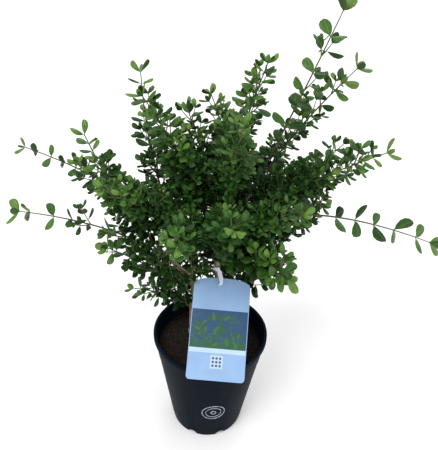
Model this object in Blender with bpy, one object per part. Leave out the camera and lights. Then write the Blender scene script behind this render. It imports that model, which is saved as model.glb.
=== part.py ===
"""A young box shrub in a black nursery pot, with its hanging label.

Metres, +Z up. The origin is the middle of the pot's flat underside, and -Y is the side that the label faces.
Three stems rise from the soil. Boughs leave them at their own heights, each bough ends where its mass of
foliage begins, and every mass is twigs and leaves that branch by one rule from a stem of its own.
"""

import math
import random
from collections import namedtuple

import bmesh
import bpy
import numpy as np
from mathutils import Matrix, Vector

MM = 0.001
CM = 0.01
UP = Vector((0, 0, 1))

# Clearance that every solid keeps from its neighbours
GAP = 0.3 * MM

# Pot
POT_HEIGHT = 143 * MM
RIM_RADIUS = 70 * MM
LIP_HEIGHT = 7 * MM
LIP_DEPTH = 2.2 * MM
FOOT_RADIUS = 46.5 * MM
WALL = 1.2 * MM
FLOOR_TOP = 3.2 * MM
CENTRE_RADIUS = 28 * MM
CHANNEL_RADIUS = 36 * MM
CHANNEL_DEPTH = 2 * MM
EDGE_ROUND = 1.2 * MM
SMOOTH_ANGLE = 30
POT_SIDES = 36
DRAIN_COUNT = 8
DRAIN_RADIUS = 6 * MM
DRAIN_SIDES = 10
DRAIN_OVERRUN = 4 * MM

# Soil
SOIL_TOP = 125 * MM
SOIL_SIDE_GAP = 0.4 * MM
SOIL_FLAT_RADIUS = 37 * MM
SOIL_EDGE_DROP = 3 * MM
SOIL_BUMP = 1.2 * MM

# Label
LABEL_WIDTH = 65 * MM
LABEL_LENGTH = 114 * MM
LABEL_THICKNESS = 0.8 * MM
LABEL_LEAN = 43
LABEL_TURN = 2.6
LABEL_OVERHANG = 8.5 * MM
LABEL_SHIFT = 7 * MM
LABEL_CORNER = 4 * MM
LABEL_TOP_ARCH = 11 * MM
STRAP_WIDTH = 5 * MM
STRAP_THICKNESS = 0.8 * MM
STRAP_HEIGHT = 104 * MM
STRAP_SIDES = 12
STRAP_SLIMMING = 0.9

# Stems: the foot's place on the soil, the tip's place and height above the soil, and the radii of both
Stem = namedtuple("Stem", "name foot tip height foot_radius tip_radius")
STEMS = [
    Stem("trunk", (0.6, 0.4), (0.4, 1.1), 18.5, 3.6 * MM, 2.2 * MM),
    Stem("stem_left", (-2.4, 1.2), (-1.9, 0.2), 16.5, 3.0 * MM, 1.9 * MM),
    Stem("stem_back", (1.5, 2.8), (2.3, 4.6), 17.5, 3.0 * MM, 1.9 * MM),
]
STEM_SIDES = 8
STEM_RINGS = 6
STEM_BOW = 0.35 * CM
FLARE_HEIGHT = 9 * MM
FLARE_SHARE = 0.55
FLARE_RINGS = (0.2, 0.45)

# Shoots. A shoot leaves its stem at a height above the soil in cm, and at a rise above the level in degrees.
# Its tip stands in a compass direction from the pot's middle (0 is +X, 90 is +Y), at a reach and height in
# cm. bare is the share of it that is bough. gap is the distance in cm from one pair of leaves or twigs to
# the next, twigs is the share of them that are twigs, and twig is the length in cm of the lowest of these.
Shoot = namedtuple("Shoot", "name stem leaves rise compass reach height bare gap twigs twig")
SHOOTS = [
    Shoot("low_left", "stem_left", 4.2, 45, 175, 9.4, 7.0, 0, 1.4, 0.5, 3.2),
    Shoot("low_back_left", "stem_left", 5.4, 45, 146, 10.5, 9.5, 0, 1.4, 0.7, 4.4),
    Shoot("left_low", "stem_left", 6.6, 50, 191, 11.4, 14.6, 0.2, 1.4, 0.7, 4.8),
    Shoot("left_long", "stem_left", 7.9, 62, 188, 21.3, 19.2, 0.25, 2.1, 0.2, 4.4),
    Shoot("left_top", "stem_left", 9.2, 45, 190, 12.6, 27.0, 0.25, 1.4, 0.6, 4.6),
    Shoot("left_upper", "stem_left", 10.4, 68, 174, 20.0, 23.8, 0.25, 1.8, 0.25, 4.4),
    Shoot("left_tall", "stem_left", 11.6, 48, 153, 9.0, 31.4, 0.2, 1.6, 0.5, 3.8),
    Shoot("front_left", "stem_left", 12.8, 56, 253, 11.2, 20.6, 0.15, 1.4, 0.7, 4.8),
    Shoot("left_front", "stem_left", 14.2, 50, 208, 11.6, 23.0, 0.2, 1.4, 0.7, 4.8),
    Shoot("upper_left", "stem_left", 16.5, 86, 187, 7.2, 30.4, 0, 1.4, 0.7, 4.8),
    Shoot("front_right_low", "trunk", 11.6, 48, 309, 10.8, 16.4, 0.2, 1.4, 0.7, 4.2),
    Shoot("front_mid", "trunk", 12.5, 56, 278, 10.8, 22.4, 0.2, 1.4, 0.7, 4.8),
    Shoot("front_right", "trunk", 13.4, 50, 323, 10.0, 21.6, 0.2, 1.4, 0.7, 4.8),
    Shoot("right_long", "trunk", 14.3, 48, 351, 22.2, 17.6, 0.25, 2.1, 0.2, 4.2),
    Shoot("right_mid", "trunk", 15.3, 45, 349, 15.6, 26.8, 0.2, 1.4, 0.6, 4.6),
    Shoot("front_top", "trunk", 16.3, 65, 290, 5.6, 29.6, 0.15, 1.4, 0.7, 4.8),
    Shoot("top_left", "trunk", 17.3, 74, 148, 3.8, 28.6, 0.15, 1.4, 0.7, 4.6),
    Shoot("top_inner", "trunk", 18.5, 80, 358, 4.0, 33.6, 0, 1.4, 0.6, 4.4),
    Shoot("low_right", "stem_back", 4.0, 45, 22, 9.6, 9.4, 0, 1.4, 0.7, 4.4),
    Shoot("low_back", "stem_back", 5.4, 45, 82, 11.6, 10.0, 0, 1.4, 0.7, 4.4),
    Shoot("right_back", "stem_back", 7.6, 52, 22, 13.4, 17.6, 0.25, 1.4, 0.7, 4.8),
    Shoot("back_mid", "stem_back", 8.8, 55, 76, 13.4, 18.6, 0.25, 1.4, 0.7, 4.8),
    Shoot("back_left", "stem_back", 10.0, 55, 120, 13.2, 20.0, 0.3, 1.4, 0.7, 4.8),
    Shoot("right_upper", "stem_back", 11.2, 55, 12, 13.2, 25.4, 0.25, 1.4, 0.7, 4.6),
    Shoot("back_right", "stem_back", 12.4, 55, 48, 12.2, 24.6, 0.2, 1.4, 0.7, 4.8),
    Shoot("right_top", "stem_back", 13.8, 74, 11, 13.0, 33.0, 0.25, 1.7, 0.5, 4.2),
    Shoot("top_right_long", "stem_back", 15.0, 66, 355, 9.8, 38.2, 0.2, 1.9, 0.35, 4.0),
    Shoot("back_high", "stem_back", 16.2, 65, 88, 8.6, 26.4, 0.15, 1.4, 0.7, 4.6),
    Shoot("top_mid", "stem_back", 17.5, 84, 101, 5.1, 29.3, 0, 1.4, 0.7, 4.4),
]
BEND_SHARE = 0.45
PATH_STEPS = 14
BOUGH_SIDES = 5
BOUGH_STEPS = 3
BOUGH_FOOT_RADIUS = 1.7 * MM
BOUGH_TIP_RADIUS = 1.25 * MM

# Twigs and leaves
TWIG_SIDES = 3
MASS_STEPS = 4
MASS_STEM_RADIUS = 1.25 * MM
TWIG_RADIUS = 1.0 * MM
TWIG_TIP_RADIUS = 0.65 * MM
TWIG_ROOT_SHARE = 0.15
TWIG_TESTS = 8
TWIG_LENGTHS = (0.75, 1.1)
TWIG_SHORTENING = 0.6
FIRST_NODE = 14 * MM
TWIG_NODE_GAP = 13 * MM
FIRST_PAIR_SHARE = 0.9
LAST_PAIR_SHARE = 0.4
PAIR_TURN_SPREAD = 0.25
PAIR_GAP_SPREAD = (0.9, 1.1)
TWIG_ANGLE = 48
TWIG_LIFT = 0.22
SHORTEST_TWIG = 18 * MM
LEAF_ANGLE = 55
LEAF_LENGTH = 24 * MM
LEAF_WIDTH = 13.5 * MM
LEAF_THICKNESS = 0.8 * MM
LEAF_SIZES = (0.88, 1.08)
FEWEST_LEAVES = 2
MOST_LEAVES = 22
LEAF_SHOULDER = 0.58
LEAF_TIP = 0.45
LEAF_SINK = 0.25 * MM
TIP_SHARE = 0.72
TIP_INSET = 1.5 * MM
FACE_UP = 0.9

# How far a mass keeps from its neighbours, from limbs and from the label, and from its own other leaves
NEIGHBOUR_CLEAR = 1.3 * MM
LIMB_CLEAR = 1.2 * MM
LABEL_CLEAR = 3 * MM
POT_CLEAR = 4 * MM
RIM_CLEAR = 16 * MM
STRAP_CLEAR = 15 * MM
OWN_CLEAR = 1.6 * MM
ROOT_REACH = 5.5 * MM


def clear_scene():
    for obj in list(bpy.data.objects):
        bpy.data.objects.remove(obj)


def material(name, colour, roughness):
    made = bpy.data.materials.new(name)
    made.use_nodes = True
    shader = made.node_tree.nodes["Principled BSDF"]
    shader.inputs["Base Color"].default_value = (*colour, 1)
    shader.inputs["Roughness"].default_value = roughness
    shader.inputs["Metallic"].default_value = 0
    return made


def object_of(name, mesh, finish):
    obj = bpy.data.objects.new(name, mesh)
    bpy.context.scene.collection.objects.link(obj)
    mesh.materials.append(finish)
    return obj


def mesh_of(name, points, faces):
    mesh = bpy.data.meshes.new(name)
    mesh.from_pydata([tuple(p) for p in points], [], faces)
    mesh.validate()
    return mesh


def face_out(mesh):
    """Turns every face of a closed mesh outwards."""
    shape = bmesh.new()
    shape.from_mesh(mesh)
    bmesh.ops.recalc_face_normals(shape, faces=shape.faces)
    shape.to_mesh(mesh)
    shape.free()


def lathe(name, profile, sides):
    """A mesh turned about the Z axis from (radius, height) points. A radius of zero is on the axis."""
    points, rings = [], []
    for radius, height in profile:
        first = len(points)
        if radius == 0:
            points.append((0, 0, height))
            rings.append([first] * sides)
            continue
        for side in range(sides):
            turn = 2 * math.pi * side / sides
            points.append((radius * math.cos(turn), radius * math.sin(turn), height))
        rings.append(list(range(first, first + sides)))
    mesh = mesh_of(name, points, walls_between(rings))
    face_out(mesh)
    return mesh


def tube(name, path, radii, sides, level_rings=False):
    """A tapering limb of round section along a path. A radius of zero makes a point.

    level_rings keeps its sections and both its cuts horizontal.
    """
    points, rings = [], []
    across = side_of(tangent(path, 0))
    for i, centre in enumerate(path):
        along = tangent(path, i)
        if level_rings:
            first, second = Vector((1, 0, 0)), Vector((0, 1, 0))
        else:
            across = (across - along * across.dot(along)).normalized()
            first, second = across, along.cross(across)
        start = len(points)
        if radii[i] == 0:
            points.append(centre)
            rings.append([start] * sides)
            continue
        for side in range(sides):
            turn = 2 * math.pi * side / sides
            points.append(centre + (first * math.cos(turn) + second * math.sin(turn)) * radii[i])
        rings.append(list(range(start, start + sides)))
    faces = walls_between(rings)
    for ring in (rings[0], rings[-1]):
        if len(set(ring)) > 1:
            faces.append(ring)
    mesh = mesh_of(name, points, faces)
    face_out(mesh)
    return mesh


def walls_between(rings):
    """Faces that join each ring of point numbers to the next. A ring that repeats one number is a point."""
    faces = []
    for low, high in zip(rings, rings[1:]):
        for side in range(len(low)):
            after = (side + 1) % len(low)
            corners = [low[side], low[after], high[after], high[side]]
            faces.append(list(dict.fromkeys(corners)))
    return faces


def tangent(path, i):
    return (path[min(i + 1, len(path) - 1)] - path[max(i - 1, 0)]).normalized()


def side_of(along):
    """A direction square to this one, level where it can be."""
    across = along.cross(UP)
    if across.length < 0.05:
        across = along.cross(Vector((1, 0, 0)))
    return across.normalized()


def boolean(obj, operation, others):
    """Cuts the others from obj or joins them to it, applies the result and removes the others.

    The second solver takes over where the first one leaves the mesh open.
    """
    group = bpy.data.collections.new(obj.name + "_operands")
    bpy.context.scene.collection.children.link(group)
    for other in others:
        bpy.context.scene.collection.objects.unlink(other)
        group.objects.link(other)
    step = obj.modifiers.new(operation.lower(), "BOOLEAN")
    step.operation = operation
    step.operand_type = "COLLECTION"
    step.collection = group
    for solver in ("EXACT", "MANIFOLD"):
        step.solver = solver
        graph = bpy.context.evaluated_depsgraph_get()
        made = bpy.data.meshes.new_from_object(obj.evaluated_get(graph))
        if is_closed(made):
            break
    obj.modifiers.remove(step)
    obj.data = made
    for other in others:
        bpy.data.objects.remove(other)
    bpy.data.collections.remove(group)


def is_closed(mesh):
    shape = bmesh.new()
    shape.from_mesh(mesh)
    closed = all(edge.is_manifold for edge in shape.edges)
    shape.free()
    return closed


def fuse(mass, pieces):
    """Joins a mass's stem, twigs and leaves into one body, and drops any scrap that stayed apart."""
    boolean(mass, "UNION", pieces)
    shape = bmesh.new()
    shape.from_mesh(mass.data)
    bodies = bodies_of(shape)
    largest = max(bodies, key=len)
    scraps = [vertex for body in bodies if body is not largest for vertex in body]
    bmesh.ops.delete(shape, geom=scraps, context="VERTS")
    shape.to_mesh(mass.data)
    shape.free()


def bodies_of(shape):
    """The vertices of each connected body of a mesh."""
    left = set(shape.verts)
    bodies = []
    while left:
        body = set()
        waiting = [left.pop()]
        while waiting:
            vertex = waiting.pop()
            body.add(vertex)
            for edge in vertex.link_edges:
                other = edge.other_vert(vertex)
                if other in left:
                    left.remove(other)
                    waiting.append(other)
        bodies.append(body)
    return bodies


def polar(compass, reach, height):
    """A point this far from the pot's axis, in a compass direction in degrees, at a height above the soil."""
    turn = math.radians(compass)
    return Vector((reach * math.cos(turn), reach * math.sin(turn), SOIL_TOP + height))


def bezier(start, bend, end, steps):
    shares = [i / steps for i in range(steps + 1)]
    return [start * (1 - t) ** 2 + bend * 2 * t * (1 - t) + end * t * t for t in shares]


def lengths_of(path):
    """How far along the path each of its points lies."""
    total = [0.0]
    for a, b in zip(path, path[1:]):
        total.append(total[-1] + (b - a).length)
    return total


def point_at(path, distance):
    """The point this far along a path, and the path's direction there."""
    total = lengths_of(path)
    for i in range(len(path) - 1):
        if distance <= total[i + 1] or i == len(path) - 2:
            share = (distance - total[i]) / (total[i + 1] - total[i])
            return path[i].lerp(path[i + 1], share), (path[i + 1] - path[i]).normalized()


def part_of(path, start, end, steps):
    """An evenly stepped copy of the path between two distances along it."""
    return [point_at(path, start + (end - start) * i / steps)[0] for i in range(steps + 1)]


def taper(start, end, count):
    return [start + (end - start) * i / (count - 1) for i in range(count)]


def inner_radius(height):
    """The radius of the pot's inner wall at a height."""
    rise = (height - FLOOR_TOP) / (POT_HEIGHT - LIP_HEIGHT - FLOOR_TOP)
    outer = FOOT_RADIUS + (RIM_RADIUS - LIP_DEPTH - FOOT_RADIUS) * rise
    return outer - WALL


def build_pot(finish):
    under_lip = POT_HEIGHT - LIP_HEIGHT
    lip_wall = RIM_RADIUS - LIP_DEPTH
    profile = [
        (0, 0),
        (CENTRE_RADIUS, 0),
        (CENTRE_RADIUS + CHANNEL_DEPTH, CHANNEL_DEPTH),
        (CHANNEL_RADIUS - CHANNEL_DEPTH, CHANNEL_DEPTH),
        (CHANNEL_RADIUS, 0),
        (FOOT_RADIUS - EDGE_ROUND, 0),
        (FOOT_RADIUS, EDGE_ROUND),
        (lip_wall, under_lip),
        (RIM_RADIUS, under_lip + LIP_DEPTH / 2),
        (RIM_RADIUS, POT_HEIGHT - EDGE_ROUND),
        (RIM_RADIUS - EDGE_ROUND, POT_HEIGHT),
        (lip_wall - WALL + EDGE_ROUND, POT_HEIGHT),
        (lip_wall - WALL, POT_HEIGHT - EDGE_ROUND),
        (lip_wall - WALL, under_lip),
        (inner_radius(FLOOR_TOP), FLOOR_TOP),
        (0, FLOOR_TOP),
    ]
    pot = object_of("pot", lathe("pot", profile, POT_SIDES), finish)
    cutters = [drain_cutter(i) for i in range(DRAIN_COUNT)]
    boolean(pot, "DIFFERENCE", cutters)
    pot.data.shade_smooth()
    pot.data.set_sharp_from_angle(angle=math.radians(SMOOTH_ANGLE))


def drain_cutter(i):
    """A round bar across the pot's foot: it cuts an arched drain through the wall and the floor's edge."""
    turn = 2 * math.pi * (i + 0.5) / DRAIN_COUNT
    out = Vector((math.cos(turn), math.sin(turn), 0))
    ends = [out * (CHANNEL_RADIUS - CHANNEL_DEPTH), out * (FOOT_RADIUS + DRAIN_OVERRUN)]
    mesh = tube("drain", ends, [DRAIN_RADIUS] * 2, DRAIN_SIDES)
    return object_of(f"drain_{i}", mesh, bpy.data.materials["pot_plastic"])


def build_soil(finish):
    """Potting mix that fills the pot: level where the stems stand, uneven and lower towards the wall."""
    rng = random.Random("soil")
    bottom = FLOOR_TOP + GAP
    edge_height = SOIL_TOP - SOIL_EDGE_DROP
    edge = inner_radius(edge_height) - SOIL_SIDE_GAP
    foot = inner_radius(bottom) - SOIL_SIDE_GAP
    middle = (SOIL_FLAT_RADIUS + edge) / 2
    profile = [
        (0, bottom),
        (foot, bottom),
        (edge, edge_height),
        (middle, SOIL_TOP - SOIL_EDGE_DROP / 2),
        (SOIL_FLAT_RADIUS, SOIL_TOP),
        (0, SOIL_TOP),
    ]
    mesh = lathe("soil", profile, POT_SIDES)
    for vertex in mesh.vertices:
        radius = math.hypot(vertex.co.x, vertex.co.y)
        if vertex.co.z > edge_height + SOIL_BUMP / 2 and radius > SOIL_FLAT_RADIUS + MM:
            vertex.co.z += rng.uniform(-SOIL_BUMP, SOIL_BUMP)
    return object_of("soil", mesh, finish)


def label_frame():
    """The label's own frame: X across it, Y up its length, Z out of its face, from the back's lower edge."""
    lean = math.radians(LABEL_LEAN)
    turn = Matrix.Rotation(-math.radians(LABEL_TURN), 4, "Z")
    face = Vector((0, -math.cos(lean), math.sin(lean)))
    along = Vector((0, math.sin(lean), math.cos(lean)))
    across = Vector((1, 0, 0))
    tilt = Matrix((across, along, face)).transposed().to_4x4()
    rest = Vector((LABEL_SHIFT, -RIM_RADIUS, POT_HEIGHT)) + face * GAP
    return Matrix.Translation(rest) @ tilt @ turn @ Matrix.Translation((0, -LABEL_OVERHANG, 0))


def label_outline():
    """The card's outline: two rounded corners below, two shoulders and an arched top."""
    half = LABEL_WIDTH / 2
    points = []
    for corner_x, first in ((-half + LABEL_CORNER, 180), (half - LABEL_CORNER, 270)):
        for step in range(4):
            turn = math.radians(first + 30 * step)
            points.append((corner_x + LABEL_CORNER * math.cos(turn), LABEL_CORNER * (1 + math.sin(turn))))
    arch = [(1.0, 0.0), (0.8, 0.62), (0.45, 0.95), (-0.45, 0.95), (-0.8, 0.62), (-1.0, 0.0)]
    shoulder = LABEL_LENGTH - LABEL_TOP_ARCH
    points += [(half * x, shoulder + LABEL_TOP_ARCH * y) for x, y in arch]
    return points


def build_label(finish, trunk_path):
    """A stiff card that rests on the rim, with a strap from its top that ends in a ring around the trunk."""
    outline = label_outline()
    back = [(x, y, 0) for x, y in outline]
    front = [(x, y, LABEL_THICKNESS) for x, y in outline]
    count = len(outline)
    faces = [list(range(count))[::-1], list(range(count, 2 * count))]
    faces += [[i, (i + 1) % count, count + (i + 1) % count, count + i] for i in range(count)]
    card = mesh_of("label", back + front, faces)
    face_out(card)
    card.transform(label_frame())
    label = object_of("label", card, finish)

    centre = point_at_height(trunk_path, SOIL_TOP + STRAP_HEIGHT)
    inner = trunk_radius(STRAP_HEIGHT) + 2 * GAP
    low, high = -STRAP_WIDTH / 2, STRAP_WIDTH / 2
    outer = inner + STRAP_THICKNESS
    section = [(inner, low), (outer, low), (outer, high), (inner, high), (inner, low)]
    ring = lathe("strap_ring", section, STRAP_SIDES)
    merge_close(ring)
    face_out(ring)
    ring.transform(Matrix.Translation(centre))

    top = label_frame() @ Vector((0, LABEL_LENGTH - STRAP_WIDTH, LABEL_THICKNESS / 2))
    out = Vector((top.x - centre.x, top.y - centre.y, 0)).normalized()
    meets = centre + out * (inner + STRAP_THICKNESS / 2)
    strap = flat_bar("strap", top, meets, STRAP_WIDTH, STRAP_THICKNESS * STRAP_SLIMMING)
    boolean(label, "UNION", [object_of("strap_ring", ring, finish), object_of("strap", strap, finish)])


def merge_close(mesh):
    shape = bmesh.new()
    shape.from_mesh(mesh)
    bmesh.ops.remove_doubles(shape, verts=shape.verts, dist=0.01 * MM)
    shape.to_mesh(mesh)
    shape.free()


def flat_bar(name, start, end, width, thickness):
    """A strip between two points, as wide as it is along its level side."""
    along = (end - start).normalized()
    across = side_of(along) * width / 2
    proud = along.cross(across).normalized() * thickness / 2
    points = []
    for centre in (start, end):
        points += [centre + side + rise for rise in (proud, -proud) for side in (across, -across)]
    faces = [[3, 2, 1, 0], [4, 5, 6, 7], [0, 1, 5, 4], [1, 2, 6, 5], [2, 3, 7, 6], [3, 0, 4, 7]]
    mesh = mesh_of(name, points, faces)
    face_out(mesh)
    return mesh


def stem_path(stem):
    """The stem's axis, from its flat foot on the soil to its tip, bowed a little to one side."""
    foot = Vector((stem.foot[0] * CM, stem.foot[1] * CM, SOIL_TOP + GAP))
    tip = Vector((stem.tip[0] * CM, stem.tip[1] * CM, SOIL_TOP + stem.height * CM))
    sideways = side_of((tip - foot).normalized()) * STEM_BOW
    return bezier(foot, (foot + tip) / 2 + sideways, tip, STEM_RINGS)


def stem_radii(stem, path):
    """Radii along a stem, with the root flare over its lowest few millimetres."""
    radii = taper(stem.foot_radius, stem.tip_radius, len(path))
    heights = [point.z - path[0].z for point in path]
    return [r * (1 + FLARE_SHARE * max(0, 1 - h / FLARE_HEIGHT)) for r, h in zip(radii, heights)]


def build_stem(stem, path, finish, swell=0.0):
    """A stem's solid. swell makes the fatter copy that boughs are cut by."""
    flare = [path[0].lerp(path[1], share) for share in FLARE_RINGS]
    rings = [path[0]] + flare + path[1:]
    radii = [r + swell for r in stem_radii(stem, rings)]
    if swell:
        rings = [rings[0] - UP * swell] + rings[1:-1] + [rings[-1] + UP * swell]
    mesh = tube(stem.name, rings, radii, STEM_SIDES, level_rings=True)
    return object_of(stem.name, mesh, finish)


def trunk_radius(height):
    trunk = STEMS[0]
    return trunk.foot_radius + (trunk.tip_radius - trunk.foot_radius) * height / (trunk.height * CM)


def point_at_height(path, height):
    """The point of a rising path at a height."""
    for i in range(len(path) - 1):
        if path[i + 1].z >= height or i == len(path) - 2:
            return path[i].lerp(path[i + 1], (height - path[i].z) / (path[i + 1].z - path[i].z))


def shoot_path(shoot, stem_paths):
    """A shoot's axis, from its stem's axis to its tip: it leaves at its rise and bends towards the tip."""
    start = point_at_height(stem_paths[shoot.stem], SOIL_TOP + shoot.leaves * CM)
    tip = polar(shoot.compass, shoot.reach * CM, shoot.height * CM)
    chord = tip - start
    level = Vector((chord.x, chord.y, 0)).normalized()
    rise = math.radians(shoot.rise)
    heading = level * math.cos(rise) + UP * math.sin(rise)
    return bezier(start, start + heading * chord.length * BEND_SHARE, tip, PATH_STEPS)


def is_leader(shoot):
    """Whether the shoot carries on from its stem's tip."""
    return any(s.name == shoot.stem and s.height == shoot.leaves for s in STEMS)


def way_out_of_stem(shoot, path):
    """How far along a shoot's axis its stem's bark is cleared, with room for a twig that starts there."""
    stem = next(s for s in STEMS if s.name == shoot.stem)
    if is_leader(shoot):
        return GAP
    angle = math.acos(max(-1, min(1, tangent(path, 0).dot(UP))))
    radius = stem.foot_radius + (stem.tip_radius - stem.foot_radius) * shoot.leaves / stem.height
    return (radius + 2 * GAP + MASS_STEM_RADIUS * math.cos(angle)) / math.sin(angle)


def build_bough(shoot, path, length, stem_path_here, finish):
    """The bare first part of a shoot, cut to fit its stem's side."""
    stem = next(s for s in STEMS if s.name == shoot.stem)
    axis = part_of(path, 0, length, BOUGH_STEPS)
    radii = taper(BOUGH_FOOT_RADIUS, BOUGH_TIP_RADIUS, BOUGH_STEPS + 1)
    mesh = tube("bough_" + shoot.name, axis, radii, BOUGH_SIDES)
    bough = object_of("bough_" + shoot.name, mesh, finish)
    cutter = build_stem(stem, stem_path_here, finish, swell=GAP)
    boolean(bough, "DIFFERENCE", [cutter])


def side_shoots(shoot, path):
    """What stands along a mass's stem, in opposite pairs, each pair a right angle on from the last.

    Each is its root, the stem's direction there, its own way out, and its length, which is zero for a leaf.
    """
    rng = random.Random(shoot.name + " twigs")
    length = lengths_of(path)[-1]
    turn = rng.uniform(0, math.pi)
    found = []
    distance = FIRST_NODE
    while distance < length - FIRST_NODE:
        root, along = point_at(path, distance)
        for half in (0, math.pi):
            room = shoot.twig * CM * (1 - TWIG_SHORTENING * distance / length) * rng.uniform(*TWIG_LENGTHS)
            if rng.random() > shoot.twigs or room < SHORTEST_TWIG:
                room = 0
            found.append((root, along, around(along, turn + half), room))
        turn += math.pi / 2 + rng.uniform(-PAIR_TURN_SPREAD, PAIR_TURN_SPREAD)
        distance += shoot.gap * CM * rng.uniform(*PAIR_GAP_SPREAD)
    return found


def around(along, turn):
    """A direction square to a twig, turned about it."""
    across = side_of(along)
    return across * math.cos(turn) + along.cross(across) * math.sin(turn)


def twig_axis(root, along, out, length):
    """A side twig's axis: it leans out from its parent and lifts towards the light."""
    angle = math.radians(TWIG_ANGLE)
    heading = along * math.cos(angle) + out * math.sin(angle) + UP * TWIG_LIFT
    return [root, root + heading.normalized() * length]


def twig_nodes(path, rng):
    """Where the leaves stand on a side twig: opposite pairs at even gaps, and a last pair at its tip."""
    length = lengths_of(path)[-1]
    turn = rng.uniform(0, math.pi)
    places = []
    distance = TWIG_NODE_GAP * FIRST_PAIR_SHARE
    while distance < length - TWIG_NODE_GAP * LAST_PAIR_SHARE:
        root, along = point_at(path, distance)
        places += [(root, along, around(along, turn + half), LEAF_ANGLE) for half in (0, math.pi)]
        turn += math.pi / 2
        distance += TWIG_NODE_GAP
    return places + tip_nodes(path, turn)


def tip_nodes(path, turn):
    """The last pair of leaves, which closes up along the twig."""
    length = lengths_of(path)[-1]
    root, along = point_at(path, length - TIP_INSET)
    return [(root, along, around(along, turn + half), LEAF_ANGLE * TIP_SHARE) for half in (0, math.pi)]


def leaf_frame(place):
    """A leaf's root, the way it points and the way its upper side faces."""
    root, along, out, angle = place
    lean = math.radians(angle)
    heading = (along * math.cos(lean) + out * math.sin(lean)).normalized()
    face = along * math.sin(lean) - out * math.cos(lean) + UP * FACE_UP
    face = (face - heading * face.dot(heading)).normalized()
    return root - heading * LEAF_SINK, heading, face


def leaf_points(frame, length, width):
    """A leaf's flat underside, widest past its middle and blunt at its tip, then the crown of its top."""
    root, heading, face = frame
    across = heading.cross(face)
    outline = [(0, 0), (LEAF_SHOULDER, 0.5), (1, LEAF_TIP / 2), (1, -LEAF_TIP / 2), (LEAF_SHOULDER, -0.5)]
    points = [root + heading * length * x + across * width * y for x, y in outline]
    return points + [root + heading * length * LEAF_SHOULDER + face * LEAF_THICKNESS]


LEAF_FACES = [[5, i, (i + 1) % 5] for i in range(5)] + [[4, 3, 2, 1, 0]]


def samples_of(points):
    """Points spread over a leaf beyond its root, close enough together to find what it would touch."""
    root, left, left_tip, right_tip, right, top = points
    tip = (left_tip + right_tip) / 2
    spread = [left_tip, right_tip, top, tip, tip.lerp(top, 0.5)]
    spread += [root.lerp(top, share) for share in (0.2, 0.35, 0.5, 0.75)]
    for shoulder, corner in ((left, left_tip), (right, right_tip)):
        spread += [shoulder, root.lerp(shoulder, 0.45), root.lerp(shoulder, 0.75)]
        spread += [shoulder.lerp(top, 0.5), shoulder.lerp(corner, 0.5)]
    return np.array([tuple(p) for p in spread])


class Crown:
    """Where everything in the crown lies, so that each mass can keep to its own space."""

    def __init__(self, limbs, masses):
        self.limbs = [self.segments(path) + (radius,) for path, radius in limbs]
        self.masses = {name: self.segments(path) for name, path in masses.items()}
        self.label = label_frame().inverted()

    @staticmethod
    def segments(path):
        points = np.array([tuple(p) for p in path])
        return points[:-1], points[1:]

    @staticmethod
    def distances(points, starts, ends):
        """The distance from each point to the nearest of the segments."""
        along = ends - starts
        to_point = points[:, None, :] - starts[None]
        share = (to_point * along).sum(2) / (along**2).sum(1)
        nearest = starts + np.clip(share, 0, 1)[..., None] * along
        return np.linalg.norm(points[:, None, :] - nearest, axis=2).min(1)

    def in_own_space(self, name, points):
        """Whether the points are nearer to this mass's own stem than to any other mass's."""
        own = self.distances(points, *self.masses[name])
        for other, (starts, ends) in self.masses.items():
            if other != name and (self.distances(points, starts, ends) < own + NEIGHBOUR_CLEAR).any():
                return False
        return True

    def clear_of_limbs(self, points):
        return all(
            (self.distances(points, starts, ends) > radius + LIMB_CLEAR).all()
            for starts, ends, radius in self.limbs
        )

    def clear_of_pot_and_label(self, points):
        for point in points:
            x, y, z = self.label @ Vector(point)
            beside = abs(x) < LABEL_WIDTH / 2 + LABEL_CLEAR
            if beside and -LABEL_CLEAR < y < LABEL_LENGTH + STRAP_CLEAR and abs(z) < LABEL_CLEAR:
                return False
            over_rim = math.hypot(point[0], point[1]) > RIM_RADIUS - RIM_CLEAR
            if point[2] < (POT_HEIGHT if over_rim else SOIL_TOP) + POT_CLEAR:
                return False
        return True

    def has_room(self, name, points):
        free = self.in_own_space(name, points) and self.clear_of_limbs(points)
        return free and self.clear_of_pot_and_label(points)


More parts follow.
